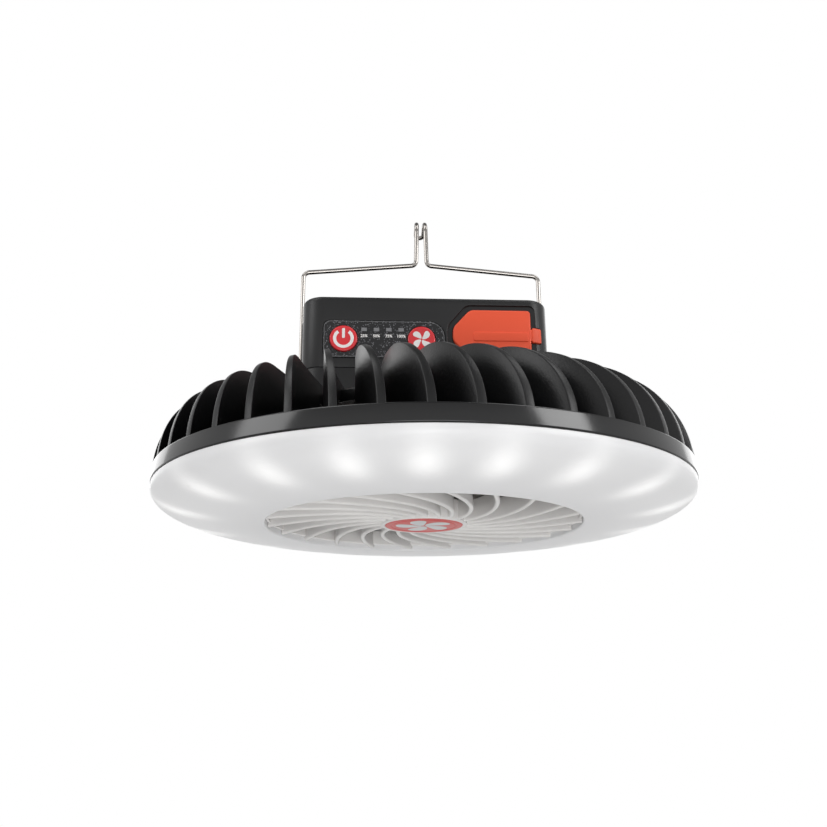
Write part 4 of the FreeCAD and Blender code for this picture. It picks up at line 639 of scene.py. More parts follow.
@dataclass
class Housing:
    """Black moulding above the lens: glossy band, floor with its fan duct, deck and spiral cooling fins."""

    band_bottom_radius: float = 115.3
    band_top_radius: float = 114.8
    band_low: float = 13.2
    band_top: float = 20.2
    band_wall: float = 2.6
    floor_low: float = 17.2
    floor_top: float = 19.6
    duct_radius: float = 62.0
    duct_wall: float = 2.0
    duct_low: float = 11.0
    duct_top: float = 29.0
    deck_radius: float = 63.5
    deck_low: float = 42.0
    deck_top: float = 44.5
    skirt_low: float = 39.3
    fin_count: int = 44
    fin_start: float = -92.17
    fin_sweep: float = 37.21
    fin_ease: float = 3.32
    foot_radius: float = 114.85
    foot_height: float = 15.6
    peak_radius: float = 85.7
    peak_height: float = 49.6
    inner_radius: float = 50.5
    inner_height: float = 43.8
    dish_height: float = 48.4
    roundness: float = 2.19
    root_radius: float = 66.0
    foot_lean: float = 46.5 / 49.2
    half_thickness: tuple[float, float, float] = (0.6, 0.7, 1.35)
    fin_edge: float = 0.25
    box_clearance: float = 0.95

    def angle(self, radius: np.ndarray) -> np.ndarray:
        """Angle of a fin's middle at a radius: a steady sweep inwards that eases off with its square."""
        inward = 1 - radius / self.foot_radius
        return np.radians(self.fin_start - self.fin_sweep * inward + self.fin_ease * inward ** 2)

    def inner_ends(self) -> np.ndarray:
        """Radius at which each fin ends: the inner radius, or where it comes to the box's plan outline."""
        radius = np.linspace(self.inner_radius, 62.0, 240)[None]
        turn = self.angle(radius) + np.arange(self.fin_count)[:, None] * 2 * math.pi / self.fin_count
        plan = np.abs(np.stack([radius * np.cos(turn), radius * np.sin(turn)], axis=-1))
        beyond = plan - np.array([Box.half_width - Box.corner, Box.half_depth - Box.corner])
        distance = np.linalg.norm(np.maximum(beyond, 0), axis=-1) + np.minimum(beyond.max(axis=-1), 0)
        near = np.where(distance - Box.corner < self.box_clearance, radius, self.inner_radius)
        return near.max(axis=1)

    def fins(self) -> np.ndarray:
        """Sections of all the fins, as fins by stations by section points.

        The edge's height over its radius is a rounded dome (a quarter of a superellipse) outside the peak and
        a parabola inside it. Each section's top edge is rounded square to that curve.
        """
        turn = np.linspace(0, math.pi / 2, 26)
        power = 2 / self.roundness
        dome_radius = self.peak_radius + (self.foot_radius - self.peak_radius) * np.cos(turn) ** power
        dome_height = self.foot_height + (self.peak_height - self.foot_height) * np.sin(turn) ** power
        dish = np.polyfit((self.inner_radius, (self.inner_radius + self.peak_radius) / 2, self.peak_radius),
                          (self.inner_height, self.dish_height, self.peak_height), 2)
        fixed = np.concatenate([np.linspace(self.peak_radius, self.root_radius + 0.05, 10)[1:],
                                [self.root_radius - 0.05, self.deck_radius - 0.45, self.deck_radius - 0.55]])
        ends = self.inner_ends()[:, None]
        tail = fixed[-1] + (ends - fixed[-1]) * np.linspace(0, 1, 8)[None, 1:]
        inside = np.concatenate([np.broadcast_to(fixed, (self.fin_count, len(fixed))), tail], axis=1)
        radius = np.concatenate([np.broadcast_to(dome_radius, (self.fin_count, 26)), inside], axis=1)
        height = np.concatenate([np.broadcast_to(dome_height, (self.fin_count, 26)),
                                 np.polyval(dish, inside)], axis=1)
        down = unit(np.stack([-np.gradient(height, axis=1), np.gradient(radius, axis=1)], axis=-1))
        low_radius = np.where(radius > self.root_radius,
                              self.root_radius + (radius - self.root_radius) * self.foot_lean, radius)
        over_deck = np.where(radius > self.deck_radius - 0.5, self.skirt_low + 0.2, self.deck_low + 1.3)
        low_height = np.where(radius > self.root_radius, self.floor_top - 0.7, over_deck)
        thickness = np.polyfit((self.inner_radius - 1, self.peak_radius, self.foot_radius + 1),
                               self.half_thickness, 2)
        edge = np.minimum(self.fin_edge, 0.8 * np.polyval(thickness, radius))[..., None]
        bend = np.radians(np.array([0, 30, 60, 90]))
        depth = edge * (1 - np.cos(bend))
        top = np.stack([radius, height], axis=-1)[..., None, :] + down[..., None, :] * depth[..., None]
        share = np.array([0.3, 0.65, 1.0])[:, None]
        low = np.stack([low_radius, low_height], axis=-1)[..., None, :]
        rows = np.concatenate([top, top[..., -1:, :] * (1 - share) + low * share], axis=-2)
        narrower = np.concatenate([edge * (1 - np.sin(bend)), np.zeros(edge.shape[:-1] + (3,))], axis=-1)
        half = np.polyval(thickness, rows[..., 0]) - narrower
        rows = np.concatenate([rows[..., ::-1, :], rows], axis=-2)
        offset = np.concatenate([half[..., ::-1], -half], axis=-1)
        turned = np.arange(self.fin_count)[:, None, None] * 2 * math.pi / self.fin_count
        plan = sided(rows[..., 0], lambda value: self.angle(value) + turned, offset)
        return np.concatenate([plan, rows[..., 1:]], axis=-1)

    def band_profile(self) -> np.ndarray:
        """Closed profile of the rim band, with rounded outer edges."""
        corners = np.array([(self.band_bottom_radius - self.band_wall, self.band_low),
                            (self.band_bottom_radius, self.band_low), (self.band_top_radius, self.band_top),
                            (self.band_top_radius - self.band_wall, self.band_top)])
        return rounded(corners, (0.1, 0.45, 0.8, 0.3), 6)

    def floor_profile(self) -> np.ndarray:
        """Closed profile of the floor and the fan duct that stands through it."""
        outside = self.duct_radius + self.duct_wall
        reach = self.band_bottom_radius - self.band_wall + 0.2
        corners = np.array([(self.duct_radius, self.duct_low), (outside, self.duct_low),
                            (outside, self.floor_low), (reach, self.floor_low), (reach, self.floor_top),
                            (outside, self.floor_top), (outside, self.duct_top),
                            (self.duct_radius, self.duct_top)])
        return rounded(corners, (0.6, 0.4, 0.3, 0.1, 0.1, 0.8, 0.5, 0.9), 3)

    def deck_profile(self) -> np.ndarray:
        """Closed profile of the deck with its skirt, from the axis outwards."""
        inner = self.deck_radius - self.duct_wall
        corners = np.array([(0.0, self.deck_low), (inner, self.deck_low), (inner, self.skirt_low),
                            (self.deck_radius, self.skirt_low), (self.deck_radius, self.deck_top),
                            (0.0, self.deck_top)])
        return rounded(corners, (0, 0.5, 0.4, 0.5, 0.7, 0), 3)

    def build(self) -> None:
        """Build the band, the floor, the deck and the fins."""
        replaced = ["fin_housing"]
        for name, profile, finish in (("rim_band", self.band_profile(), GLOSS_BLACK),
                                      ("duct_and_floor", self.floor_profile(), SATIN_BLACK),
                                      ("deck_plate", self.deck_profile(), SATIN_BLACK)):
            skin = Skin()
            revolve(skin, profile, 256)
            piece(name, skin.mesh(name), finish, Body.HOUSING, replaced)
        skin = Skin()
        for sections in self.fins():
            skin.grid(sections, close_columns=True, caps=True)
        piece("cooling_fins", skin.mesh("cooling_fins", 50), SATIN_BLACK, Body.HOUSING, replaced)


@dataclass
class Grille:
    """Round grille in the lamp's opening: spiral vanes between a hub cup and a thin ring, and its badge."""

    ring_radius: float = 67.8
    ring_wall: float = 1.3
    ring_low: float = 2.6
    low: float = 0.8
    high: float = 9.4
    hub_radius: float = 18.7
    hub_low: float = 0.4
    hub_wall: float = 1.9
    badge_top: float = 1.2
    groove: tuple[float, float, float, float] = (13.2, 13.5, 14.1, 14.4)
    groove_depth: float = 0.15
    leaf_reach: float = 12.2
    plate_top: float = 2.8
    vane_count: int = 22
    vane_half: float = 0.95
    vane_top: float = 0.55
    vane_plan: tuple[tuple[float, float], ...] = ((17.85, 8.6), (43.35, -20.0), (67.15, -38.4))

    def angle(self, radius: np.ndarray) -> np.ndarray:
        """Angle of a vane's middle at a radius: the parabola through its plan points."""
        radii, angles = zip(*self.vane_plan)
        return np.radians(np.polyval(np.polyfit(radii, angles, 2), radius))

    def vanes(self, skin: Skin) -> None:
        """Add the vanes: upright walls that thicken downwards to round lower edges."""
        radius = np.linspace(self.hub_radius - 0.6, self.ring_radius - 0.05, 18)[:, None]
        bend = np.radians(np.array([90, 60, 30, 0]))
        across = np.concatenate([[self.vane_top * 0.8, self.vane_top], self.vane_half * np.sin(bend)])
        rise = np.concatenate([[self.high, self.high - 0.25], self.low + self.vane_half * (1 - np.cos(bend))])
        offset = np.concatenate([across, -across[::-1][1:]])
        height = np.concatenate([rise, rise[::-1][1:]])
        radii = np.broadcast_to(radius, (18, len(offset)))
        for step in range(self.vane_count):
            turn = step * 2 * math.pi / self.vane_count
            plan = sided(radii, lambda value: self.angle(value) + turn, np.broadcast_to(offset, radii.shape))
            skin.grid(np.concatenate([plan, np.broadcast_to(height, radii.shape)[..., None]], axis=-1),
                      close_columns=True, caps=True)

    def build(self) -> None:
        """Build the grille and its badge."""
        skin = Skin()
        inner = self.ring_radius - self.ring_wall
        ring = np.array([(inner, self.ring_low), (self.ring_radius, self.ring_low),
                         (self.ring_radius, self.high), (inner, self.high)])
        revolve(skin, rounded(ring, (0.5, 0.4, 0.2, 0.3), 4), 200)
        seat = self.hub_radius - self.hub_wall
        hub = np.array([(0.0, self.badge_top), (seat, self.badge_top), (seat, self.hub_low),
                        (self.hub_radius, self.hub_low), (self.hub_radius, self.high), (seat, self.high),
                        (seat, self.plate_top), (0.0, self.plate_top)])
        revolve(skin, rounded(hub, (0, 0.05, 0.3, 0.7, 0.3, 0.3, 0.5, 0), 4), 96)
        self.vanes(skin)
        piece("spiral_grille", skin.mesh("spiral_grille", 40), GRILLE_GREY, Body.HOUSING,
              ["fan_grille"])
        badge = Skin()
        reach = seat - 0.05
        bottom = self.hub_low + self.groove_depth
        face = np.array([(0.0, self.hub_low), (self.groove[0], self.hub_low), (self.groove[1], bottom),
                         (self.groove[2], bottom), (self.groove[3], self.hub_low), (reach, self.hub_low),
                         (reach, self.badge_top), (0.0, self.badge_top)])
        revolve(badge, rounded(face, (0, 0.1, 0.1, 0.1, 0.1, 0.3, 0.05, 0), 3), 96)
        piece("round_badge", badge.mesh("round_badge", 40), BADGE_RED, Body.HOUSING, ["hub_badge"])
        for number, leaf in enumerate(leaves(5, self.leaf_reach, 20.0)):
            skin = Skin()
            rows = [stand(leaf, np.float64(self.hub_low + shift), Facing.UP) for shift in (0.1, -0.06)]
            skin.grid(np.stack(rows), close_columns=True, caps=True)
            piece(f"badge_leaf_{number}", skin.mesh("badge_leaf"), BADGE_GREY, Body.HOUSING)


@dataclass
class FanWheel:
    """Fan wheel: a cup over the motor with twisted, cambered blades."""

    cup_radius: float = 18.55
    cup_inner: float = 16.9
    cup_low: float = 11.6
    cup_floor: float = 13.6
    cup_top: float = 31.6
    boss_radius: float = 4.0
    boss_top: float = 21.6
    shaft_radius: float = 1.5
    blade_count: int = 7
    blade_radius: float = 60.5
    middle: float = 26.0
    chord: tuple[float, float] = (26.0, 34.0)
    pitch: tuple[float, float] = (52.0, 38.0)
    camber: float = 2.6
    thickness: float = 1.8

    def blade(self) -> np.ndarray:
        """Sections of one blade, each wrapped on its own radius.

        Along the chord the middle line is a parabola of the camber's height, and the half thickness falls to
        nothing at both edges as a high root, so that the edges are round.
        """
        radius = np.linspace(self.cup_radius - 0.7, self.blade_radius, 16)[:, None]
        share = (radius - radius[0]) / (radius[-1] - radius[0])
        chord = self.chord[0] + (self.chord[1] - self.chord[0]) * share
        pitch = np.radians(self.pitch[0] + (self.pitch[1] - self.pitch[0]) * share)
        turn = np.linspace(0, 2 * math.pi, 36, endpoint=False)[None]
        along = np.sign(np.cos(turn)) * np.abs(np.cos(turn)) ** 0.6
        across = 0.5 * self.thickness * np.sign(np.sin(turn)) * np.abs(np.sin(turn)) ** 0.6
        lift = self.camber * (1 - along ** 2) + across
        run = along * chord / 2
        round_the_axis = (run * np.cos(pitch) - lift * np.sin(pitch)) / radius
        height = self.middle + run * np.sin(pitch) + lift * np.cos(pitch)
        return np.stack([radius * np.cos(round_the_axis), radius * np.sin(round_the_axis), height], axis=-1)

    def build(self) -> None:
        """Build the wheel."""
        skin = Skin()
        cup = np.array([(0.0, self.cup_low), (self.cup_radius, self.cup_low), (self.cup_radius, self.cup_top),
                        (self.cup_inner, self.cup_top), (self.cup_inner, self.cup_floor),
                        (self.boss_radius, self.cup_floor), (self.boss_radius, self.boss_top),
                        (self.shaft_radius, self.boss_top), (self.shaft_radius, self.cup_floor),
                        (0.0, self.cup_floor)])
        revolve(skin, rounded(cup, (0, 1.6, 0.4, 0.3, 0.5, 0.5, 0.3, 0.1, 0.05, 0), 4), 96)
        blade = self.blade()
        for step in range(self.blade_count):
            turn = step * 2 * math.pi / self.blade_count
            about = np.array([[math.cos(turn), math.sin(turn), 0],
                              [-math.sin(turn), math.cos(turn), 0], [0, 0, 1]])
            skin.grid(blade @ about, close_columns=True, caps=True)
        piece("fan_wheel", skin.mesh("fan_wheel", 45), WHEEL_GREY, Body.ROTOR, ["impeller"])


@dataclass
class Box:
    """Battery box: base and cover shells with the pockets, windows and holes of the cover's front.

    Each pocket is given by its clearance, its depth and the radius of its edge.
    """

    half_width: float = 53.2
    half_depth: float = 28.5
    corner: float = 9.0
    top_edge: float = 2.4
    wall: float = 2.2
    base_low: float = 44.5
    base_floor: float = 46.5
    base_top: float = 62.3
    cover_low: float = 62.5
    cover_top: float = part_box("box_cover")[1][2] / MILLIMETRE
    base_edge: float = 0.8
    panel_pocket: tuple[float, float, float] = (0.2, 1.0, 0.25)
    flap_step: tuple[float, float, float] = (2.3, 0.8, 0.45)
    flap_pocket: tuple[float, float, float] = (0.3, 2.0, 0.25)
    strap_pocket: tuple[float, float, float] = (0.3, 1.2, 0.2)
    key_hole: tuple[float, float, float] = (0.3, 4.0, 0.1)
    socket_hole: tuple[float, float, float] = (0.2, 5.5, 0.1)

    def outline(self, grow: float) -> np.ndarray:
        """Plan outline of the box, grown or shrunk all round."""
        width, depth, corner = self.half_width + grow, self.half_depth + grow, self.corner + grow
        return rounded(np.array([(-width, -depth), (width, -depth), (width, depth), (-width, depth)]),
                       [corner] * 4, 14)

    def pocket(self, outline: Callable[[float], np.ndarray], grow: float, depth: float, edge: float,
               facing: Facing = Facing.FRONT) -> bpy.types.Object:
        """Make the tool that presses a pocket into the cover: an outline that flares to the face's edge.

        Args:
            outline: Gives the pocket's outline for a growth.
            grow: Clearance of the pocket.
            depth: Depth of the pocket.
            edge: Radius of the rounded edge.
            facing: Face that the pocket is in.

        Returns:
            The tool's object.
        """
        face, inwards = (-self.half_depth, 1) if facing is Facing.FRONT else (0.0, -1)
        rows = [(grow + edge, face - 1.5 * inwards)]
        rows += [(grow - flare, face + inwards * drop) for flare, drop in quarter(edge)]
        rows += [(grow, face + inwards * (depth - 0.2)), (grow - 0.2, face + inwards * depth)]
        skin = Skin()
        layers(skin, outline, rows, facing)
        tool = bpy.data.objects.new("pocket_tool", skin.mesh("pocket_tool"))
        bpy.context.scene.collection.objects.link(tool)
        return tool

    def carve(self, item: bpy.types.Object, tools: Sequence[bpy.types.Object]) -> None:
        """Cut the tools out of an object's mesh and delete them."""
        for tool in tools:
            cut = item.modifiers.new("cut", "BOOLEAN")
            cut.operation = "DIFFERENCE"
            cut.solver = "EXACT"
            cut.object = tool
        bpy.context.view_layer.update()
        carved = bpy.data.meshes.new_from_object(item.evaluated_get(bpy.context.evaluated_depsgraph_get()))
        item.modifiers.clear()
        carved.materials.clear()
        item.data = carved
        for tool in tools:
            bpy.data.objects.remove(tool)

    def cover(self, front: "Front") -> bpy.types.Mesh:
        """Give the cover: a hollow shell with a rounded top, its front pressed and pierced.

        Args:
            front: Controls and flap whose places the cover has.

        Returns:
            The cover's mesh.
        """
        rows = [(grow, self.cover_top - drop) for grow, drop in quarter(self.top_edge, 8)]
        rows += [(0.0, self.cover_low + 0.3), (-0.09, self.cover_low + 0.09), (-0.3, self.cover_low),
                 (-self.wall, self.cover_low), (-self.wall, self.cover_top - self.wall)]
        skin = Skin()
        layers(skin, self.outline, rows, Facing.UP)
        shell = bpy.data.objects.new("cover_blank", skin.mesh("cover_blank"))
        bpy.context.scene.collection.objects.link(shell)
        tools = [self.pocket(front.panel_outline, *self.panel_pocket),
                 self.pocket(front.flap_outline, *self.flap_step),
                 self.pocket(front.flap_outline, *self.flap_pocket),
                 self.pocket(front.strap_outline, *self.strap_pocket, Facing.CORNER)]
        keys = [front.round_outline(x, front.button_height, front.button_radius)
                for x in (front.power_x, front.fan_x)]
        tools += [self.pocket(key, *self.key_hole) for key in keys]
        tools += [self.pocket(front.light_outline(x), *self.key_hole) for x in front.light_places()]
        tools += [self.pocket(front.socket_outline(x, width, height), *self.socket_hole)
                  for x, width, height in front.sockets]
        self.carve(shell, tools)
        mesh = shell.data
        bpy.data.objects.remove(shell)
        smooth(mesh, 32)
        return mesh

    def build(self, front: "Front") -> None:
        """Build the base and the cover."""
        rows = [(grow, self.base_low + drop) for grow, drop in quarter(self.base_edge)]
        rows += [(0.0, self.base_top - 0.3), (-0.09, self.base_top - 0.09), (-0.3, self.base_top),
                 (-self.wall, self.base_top), (-self.wall, self.base_floor)]
        skin = Skin()
        layers(skin, self.outline, rows, Facing.UP)
        piece("base_shell", skin.mesh("base_shell", 32), BOX_BLACK, Body.HOUSING, ["box_base"])
        piece("cover_shell", self.cover(front), BOX_BLACK, Body.HOUSING, ["box_cover"])


@dataclass
class Front:
    """Controls, sockets and rubber flap on the box's front."""

    face: float = -28.5
    panel_left: float = -43.9
    panel_right: float = 7.9
    panel_low: float = 66.9
    panel_high: float = 83.6
    button_radius: float = 5.845
    button_height: float = 75.25
    button_face: float = -29.2
    flange_radius: float = 7.145
    flange_faces: tuple[float, float] = (-26.0, -24.8)
    stem_radius: float = 2.0
    stem_end: float = -23.6
    power_x: float = -35.3
    fan_x: float = -2.1
    light_first: float = -26.6
    light_spacing: float = 5.267
    light_width: float = 2.4
    light_tall: float = 1.6
    light_height: float = 79.6
    number_size: float = 1.75
    number_drop: float = 3.0
    print_and_highlight_depth: float = 0.1
    flap_left: float = 11.4
    flap_right: float = 45.0
    flap_shoulder: float = 18.8
    flap_middle: float = 77.9
    flap_half_height: float = 11.3
    flap_nose: float = 3.0
    flap_band: tuple[float, float, float, float] = (20.2, 43.8, -3.1, 0.9)
    flap_corners: tuple[float, ...] = (5.0, 4.0, 1.6, 1.6, 4.0, 5.0)
    flap_face: float = -29.1
    flap_back: float = -26.8
    flap_edge: float = 0.7
    strap_left: float = 45.3
    strap_right: float = 49.5
    strap_half_height: float = 3.4
    pin: tuple[tuple[float, float], ...] = ((0.0, -28.0), (1.2, -28.0), (1.2, -24.25), (1.7, -24.25),
                                            (1.7, -23.3), (0.0, -23.3))
    pin_x: float = 47.4
    web_ends: tuple[float, float] = (44.4, 46.4)
    web_half_height: float = 2.6
    web_half_thickness: float = 0.35
    web_bend: tuple[float, float] = (45.6, 44.7)
    web_depth: float = -28.6
    sockets: tuple[tuple[float, float, float], ...] = ((34.5, 13.1, 5.7), (20.5, 8.9, 3.2))
    dish: float = 0.35
    dish_radius: float = 4.9

    def panel_outline(self, grow: float) -> np.ndarray:
        """Outline of the panel, rounder at its right end."""
        corners = np.array([(self.panel_left - grow, self.panel_low - grow),
                            (self.panel_right + grow, self.panel_low - grow),
                            (self.panel_right + grow, self.panel_high + grow),
                            (self.panel_left - grow, self.panel_high + grow)])
        return rounded(corners, [3 + grow, 7 + grow, 7 + grow, 3 + grow], 8)

    def flap_outline(self, grow: float) -> np.ndarray:
        """Outline of the flap, pointed towards the buttons."""
        slope = grow * 0.7
        left, shoulder, right = self.flap_left - grow, self.flap_shoulder - slope, self.flap_right + grow
        half, nose = self.flap_half_height + grow, self.flap_nose + slope / 2
        middle = self.flap_middle
        corners = np.array([(left, middle - nose), (shoulder, middle - half), (right, middle - half),
                            (right, middle + half), (shoulder, middle + half), (left, middle + nose)])
        radii = np.array(self.flap_corners) + grow / 2
        return rounded(corners, np.maximum(radii, 0.2), 6)

    def rectangle(self, left: float, right: float, low: float, high: float,
                  corner: float) -> Callable[[float], np.ndarray]:
        """Give the outline function of a rounded rectangle."""
        def outline(grow: float) -> np.ndarray:
            """Outline for a growth."""
            corners = np.array([(left - grow, low - grow), (right + grow, low - grow),
                                (right + grow, high + grow), (left - grow, high + grow)])
            return rounded(corners, [max(corner + grow, 0.05)] * 4, 5)
        return outline

    def round_outline(self, x: float, z: float, radius: float) -> Callable[[float], np.ndarray]:
        """Give the outline function of a circle."""
        turn = np.linspace(0, 2 * math.pi, 48, endpoint=False)
        circle = np.stack([np.cos(turn), np.sin(turn)], axis=1)
        return lambda grow: np.array([x, z]) + (radius + grow) * circle

    def light_places(self) -> list[float]:
        """Places of the indicator windows along the panel."""
        return [self.light_first + step * self.light_spacing for step in range(4)]

    def light_outline(self, x: float) -> Callable[[float], np.ndarray]:
        """Outline function of one indicator window."""
        across, up = self.light_width / 2, self.light_tall / 2
        return self.rectangle(x - across, x + across, self.light_height - up, self.light_height + up, 0.15)

    def socket_outline(self, x: float, width: float, height: float) -> Callable[[float], np.ndarray]:
        """Outline function of one socket's hole."""
        return self.rectangle(x - width / 2, x + width / 2, self.flap_middle - height / 2,
                              self.flap_middle + height / 2, 0.3)

    def strap_outline(self, grow: float) -> np.ndarray:
        """Outline of the strap's tab, its width measured round the box's corner."""
        start = Box.half_width - Box.corner
        left = Box.corner * math.asin((self.strap_left - start) / Box.corner)
        right = Box.corner * math.asin((self.strap_right - start) / Box.corner)
        return self.rectangle(left, right, self.flap_middle - self.strap_half_height,
                              self.flap_middle + self.strap_half_height, 0.9)(grow)

    def slab(self, outline: np.ndarray, x: float, lift: float = 0.03) -> bpy.types.Mesh:
        """Thin raised sign on a button's dished face.

        Args:
            outline: Sign's outline (across, up) from the button's middle.
            x: Place of the button's middle.
            lift: Height of the sign over the face.

        Returns:
            The sign's mesh.
        """
        away = np.linalg.norm(outline, axis=1)
        surface = self.button_face + self.dish * np.clip(1 - (away / self.dish_radius) ** 2, 0, 1)
        rows = [np.stack([x + outline[:, 0], surface + shift, self.button_height + outline[:, 1]], axis=1)
                for shift in (0.05, -lift)]
        skin = Skin()
        skin.grid(np.stack(rows), close_columns=True, caps=True)
        return skin.mesh("sign")

    def power_sign(self) -> list[np.ndarray]:
        """Outlines of the on and off sign: an open ring and a short upright bar."""
        turn = np.radians(np.linspace(127, 413, 40))
        ring = np.stack([np.cos(turn), np.sin(turn)], axis=1)
        bar = rounded(np.array([(-0.62, 0.2), (0.62, 0.2), (0.62, 4.5), (-0.62, 4.5)]), [0.35] * 4, 4)
        return [np.concatenate([ring * 4.4, ring[::-1] * 3.05]), bar]

    def build_button(self, name: str, x: float, body: Body, sign: Sequence[np.ndarray], node: str) -> None:
        """Build one button with its dished face, flange and stem, and its sign.

        Args:
            name: Name of the button.
            x: Place along the panel.
            body: Body that it rides on.
            sign: Outlines of its sign.
            node: CAD node that it stands for.
        """
        away = np.linspace(0, self.dish_radius, 9)
        face = np.stack([away, self.button_face + self.dish * (1 - (away / self.dish_radius) ** 2)], axis=1)
        front, back = self.flange_faces
        rim = rounded(np.array([(self.dish_radius, self.button_face), (self.button_radius, self.button_face),
                                (self.button_radius, front), (self.flange_radius, front),
                                (self.flange_radius, back), (self.stem_radius, back),
                                (self.stem_radius, self.stem_end), (0.0, self.stem_end)]),
                      (0, 0.5, 0.1, 0.2, 0.2, 0.2, 0.2, 0), 5)
        skin = Skin()
        revolve(skin, np.concatenate([face, rim]), 64, (x, self.button_height), Facing.FRONT)
        piece(name, skin.mesh(name, 40), BUTTON_RED, body, [node])
        for number, outline in enumerate(sign):
            mark = f"{name}_sign_{number}"
            piece(mark, self.slab(outline, x), PRINT_WHITE, body)

    def build_painted_rim_highlight(self) -> None:
        """Build the thin grey line round the panel: a painted highlight for light caught along the rim of the
        panel's pocket.
        """
        skin = Skin()
        front, back = self.face - self.print_and_highlight_depth - 0.02, self.face - self.print_and_highlight_depth + 0.05
        outer, inner = -0.3, -0.48
        layers(skin, self.panel_outline, [(outer, back), (outer, front), (inner, front), (inner, back)],
               Facing.FRONT, loop=True)
        # The grey line is a painted highlight along the panel's rim.
        piece("panel_rim_painted_highlight", skin.mesh("panel_rim_painted_highlight"), PAINTED_RIM_HIGHLIGHT_GREY, Body.HOUSING)

    def build_numbers(self) -> None:
        """Build the plain numbers under the indicator windows, as thin flat letters that face forwards."""
        for x, word in zip(self.light_places(), ("25", "50", "75", "100")):
            curve = bpy.data.curves.new("number", "FONT")
            curve.body = f"{word}%"
            curve.size = self.number_size
            curve.offset = 0.05
            curve.align_x = "CENTER"
            curve.align_y = "CENTER"
            curve.extrude = 0.02
            holder = bpy.data.objects.new("number", curve)
            bpy.context.scene.collection.objects.link(holder)
            bpy.context.view_layer.update()
            depsgraph = bpy.context.evaluated_depsgraph_get()
            mesh = bpy.data.meshes.new_from_object(holder.evaluated_get(depsgraph))
            bpy.data.objects.remove(holder)
            height = self.light_height - self.number_drop
            place = Matrix.Translation((x, self.face - self.print_and_highlight_depth, height))
            mesh.transform(Matrix.Scale(MILLIMETRE, 4) @ place @ Matrix.Rotation(math.pi / 2, 4, "X"))
            piece(f"number_{word}", mesh, PRINT_WHITE, Body.HOUSING)

    def build_flap(self) -> None:
        """Build the flap's cushioned plate with its raised band, the strap's tab and the web between them."""
        rows = [(grow, self.flap_face + drop) for grow, drop in quarter(self.flap_edge, 5)]
        rows += [(0.0, self.flap_back - 0.3), (-0.3, self.flap_back)]
        skin = Skin()
        layers(skin, self.flap_outline, rows, Facing.FRONT)
        left, right, low, high = self.flap_band
        band = self.rectangle(left, right, self.flap_middle + low, self.flap_middle + high, 0.8)
        rows = [(grow, self.flap_face - 0.35 + drop) for grow, drop in quarter(0.25)]
        rows += [(0.06, self.flap_face - 0.04), (0.2, self.flap_face + 0.1), (0.2, self.flap_face + 0.6)]
        layers(skin, band, rows, Facing.FRONT)
        piece("flap_pad", skin.mesh("flap_pad", 40), RUBBER_ORANGE, Body.FLAP, ["port_flap"])
        skin = Skin()
        rows = [(grow, 0.55 - drop) for grow, drop in quarter(0.5)] + [(0.0, -0.7), (-0.2, -0.9)]
        layers(skin, self.strap_outline, rows, Facing.CORNER)
        revolve(skin, np.array(self.pin), 24, (self.pin_x, self.flap_middle), Facing.FRONT)
        piece("strap_tab", skin.mesh("strap_tab", 40), RUBBER_ORANGE, Body.HOUSING, ["flap_strap"])
        skin = Skin()
        tall, thick = self.web_half_height, self.web_half_thickness
        web = self.rectangle(-tall, tall, -thick, thick, 0.3)(0.0)
        run = np.linspace(*self.web_ends, 9)[:, None]
        start = Box.half_width - Box.corner
        turn = np.arcsin(np.clip((run - start) / Box.corner, -1, 1))
        back = Box.corner - Box.half_depth - Box.corner * np.cos(turn)
        points = np.stack([np.broadcast_to(run, (9, len(web))), back + web[None, :, 1] + 0.05,
                           np.broadcast_to(self.flap_middle + web[None, :, 0], (9, len(web)))], axis=-1)
        skin.grid(points, close_columns=True, caps=True)
        mesh = skin.mesh("flap_web", 40)
        item = bpy.data.objects.new("flap_web", mesh)
        bpy.context.scene.collection.objects.link(item)
        mesh.materials.append(RUBBER_ORANGE.material())
        start, end = (tuple(MILLIMETRE * value for value in (x, self.web_depth, self.flap_middle))
                      for x in self.web_bend)
        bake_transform(item)

    def build(self) -> None:
        """Build the buttons, the painted highlight line round the panel, the numbers and the flap."""
        self.build_button("power_key_cap", self.power_x, Body.POWER_KEY, self.power_sign(), "power_button")
        self.build_button("fan_key_cap", self.fan_x, Body.FAN_KEY, leaves(4, 4.5, 30.0), "fan_button")
        self.build_painted_rim_highlight()
        self.build_numbers()
        self.build_flap()


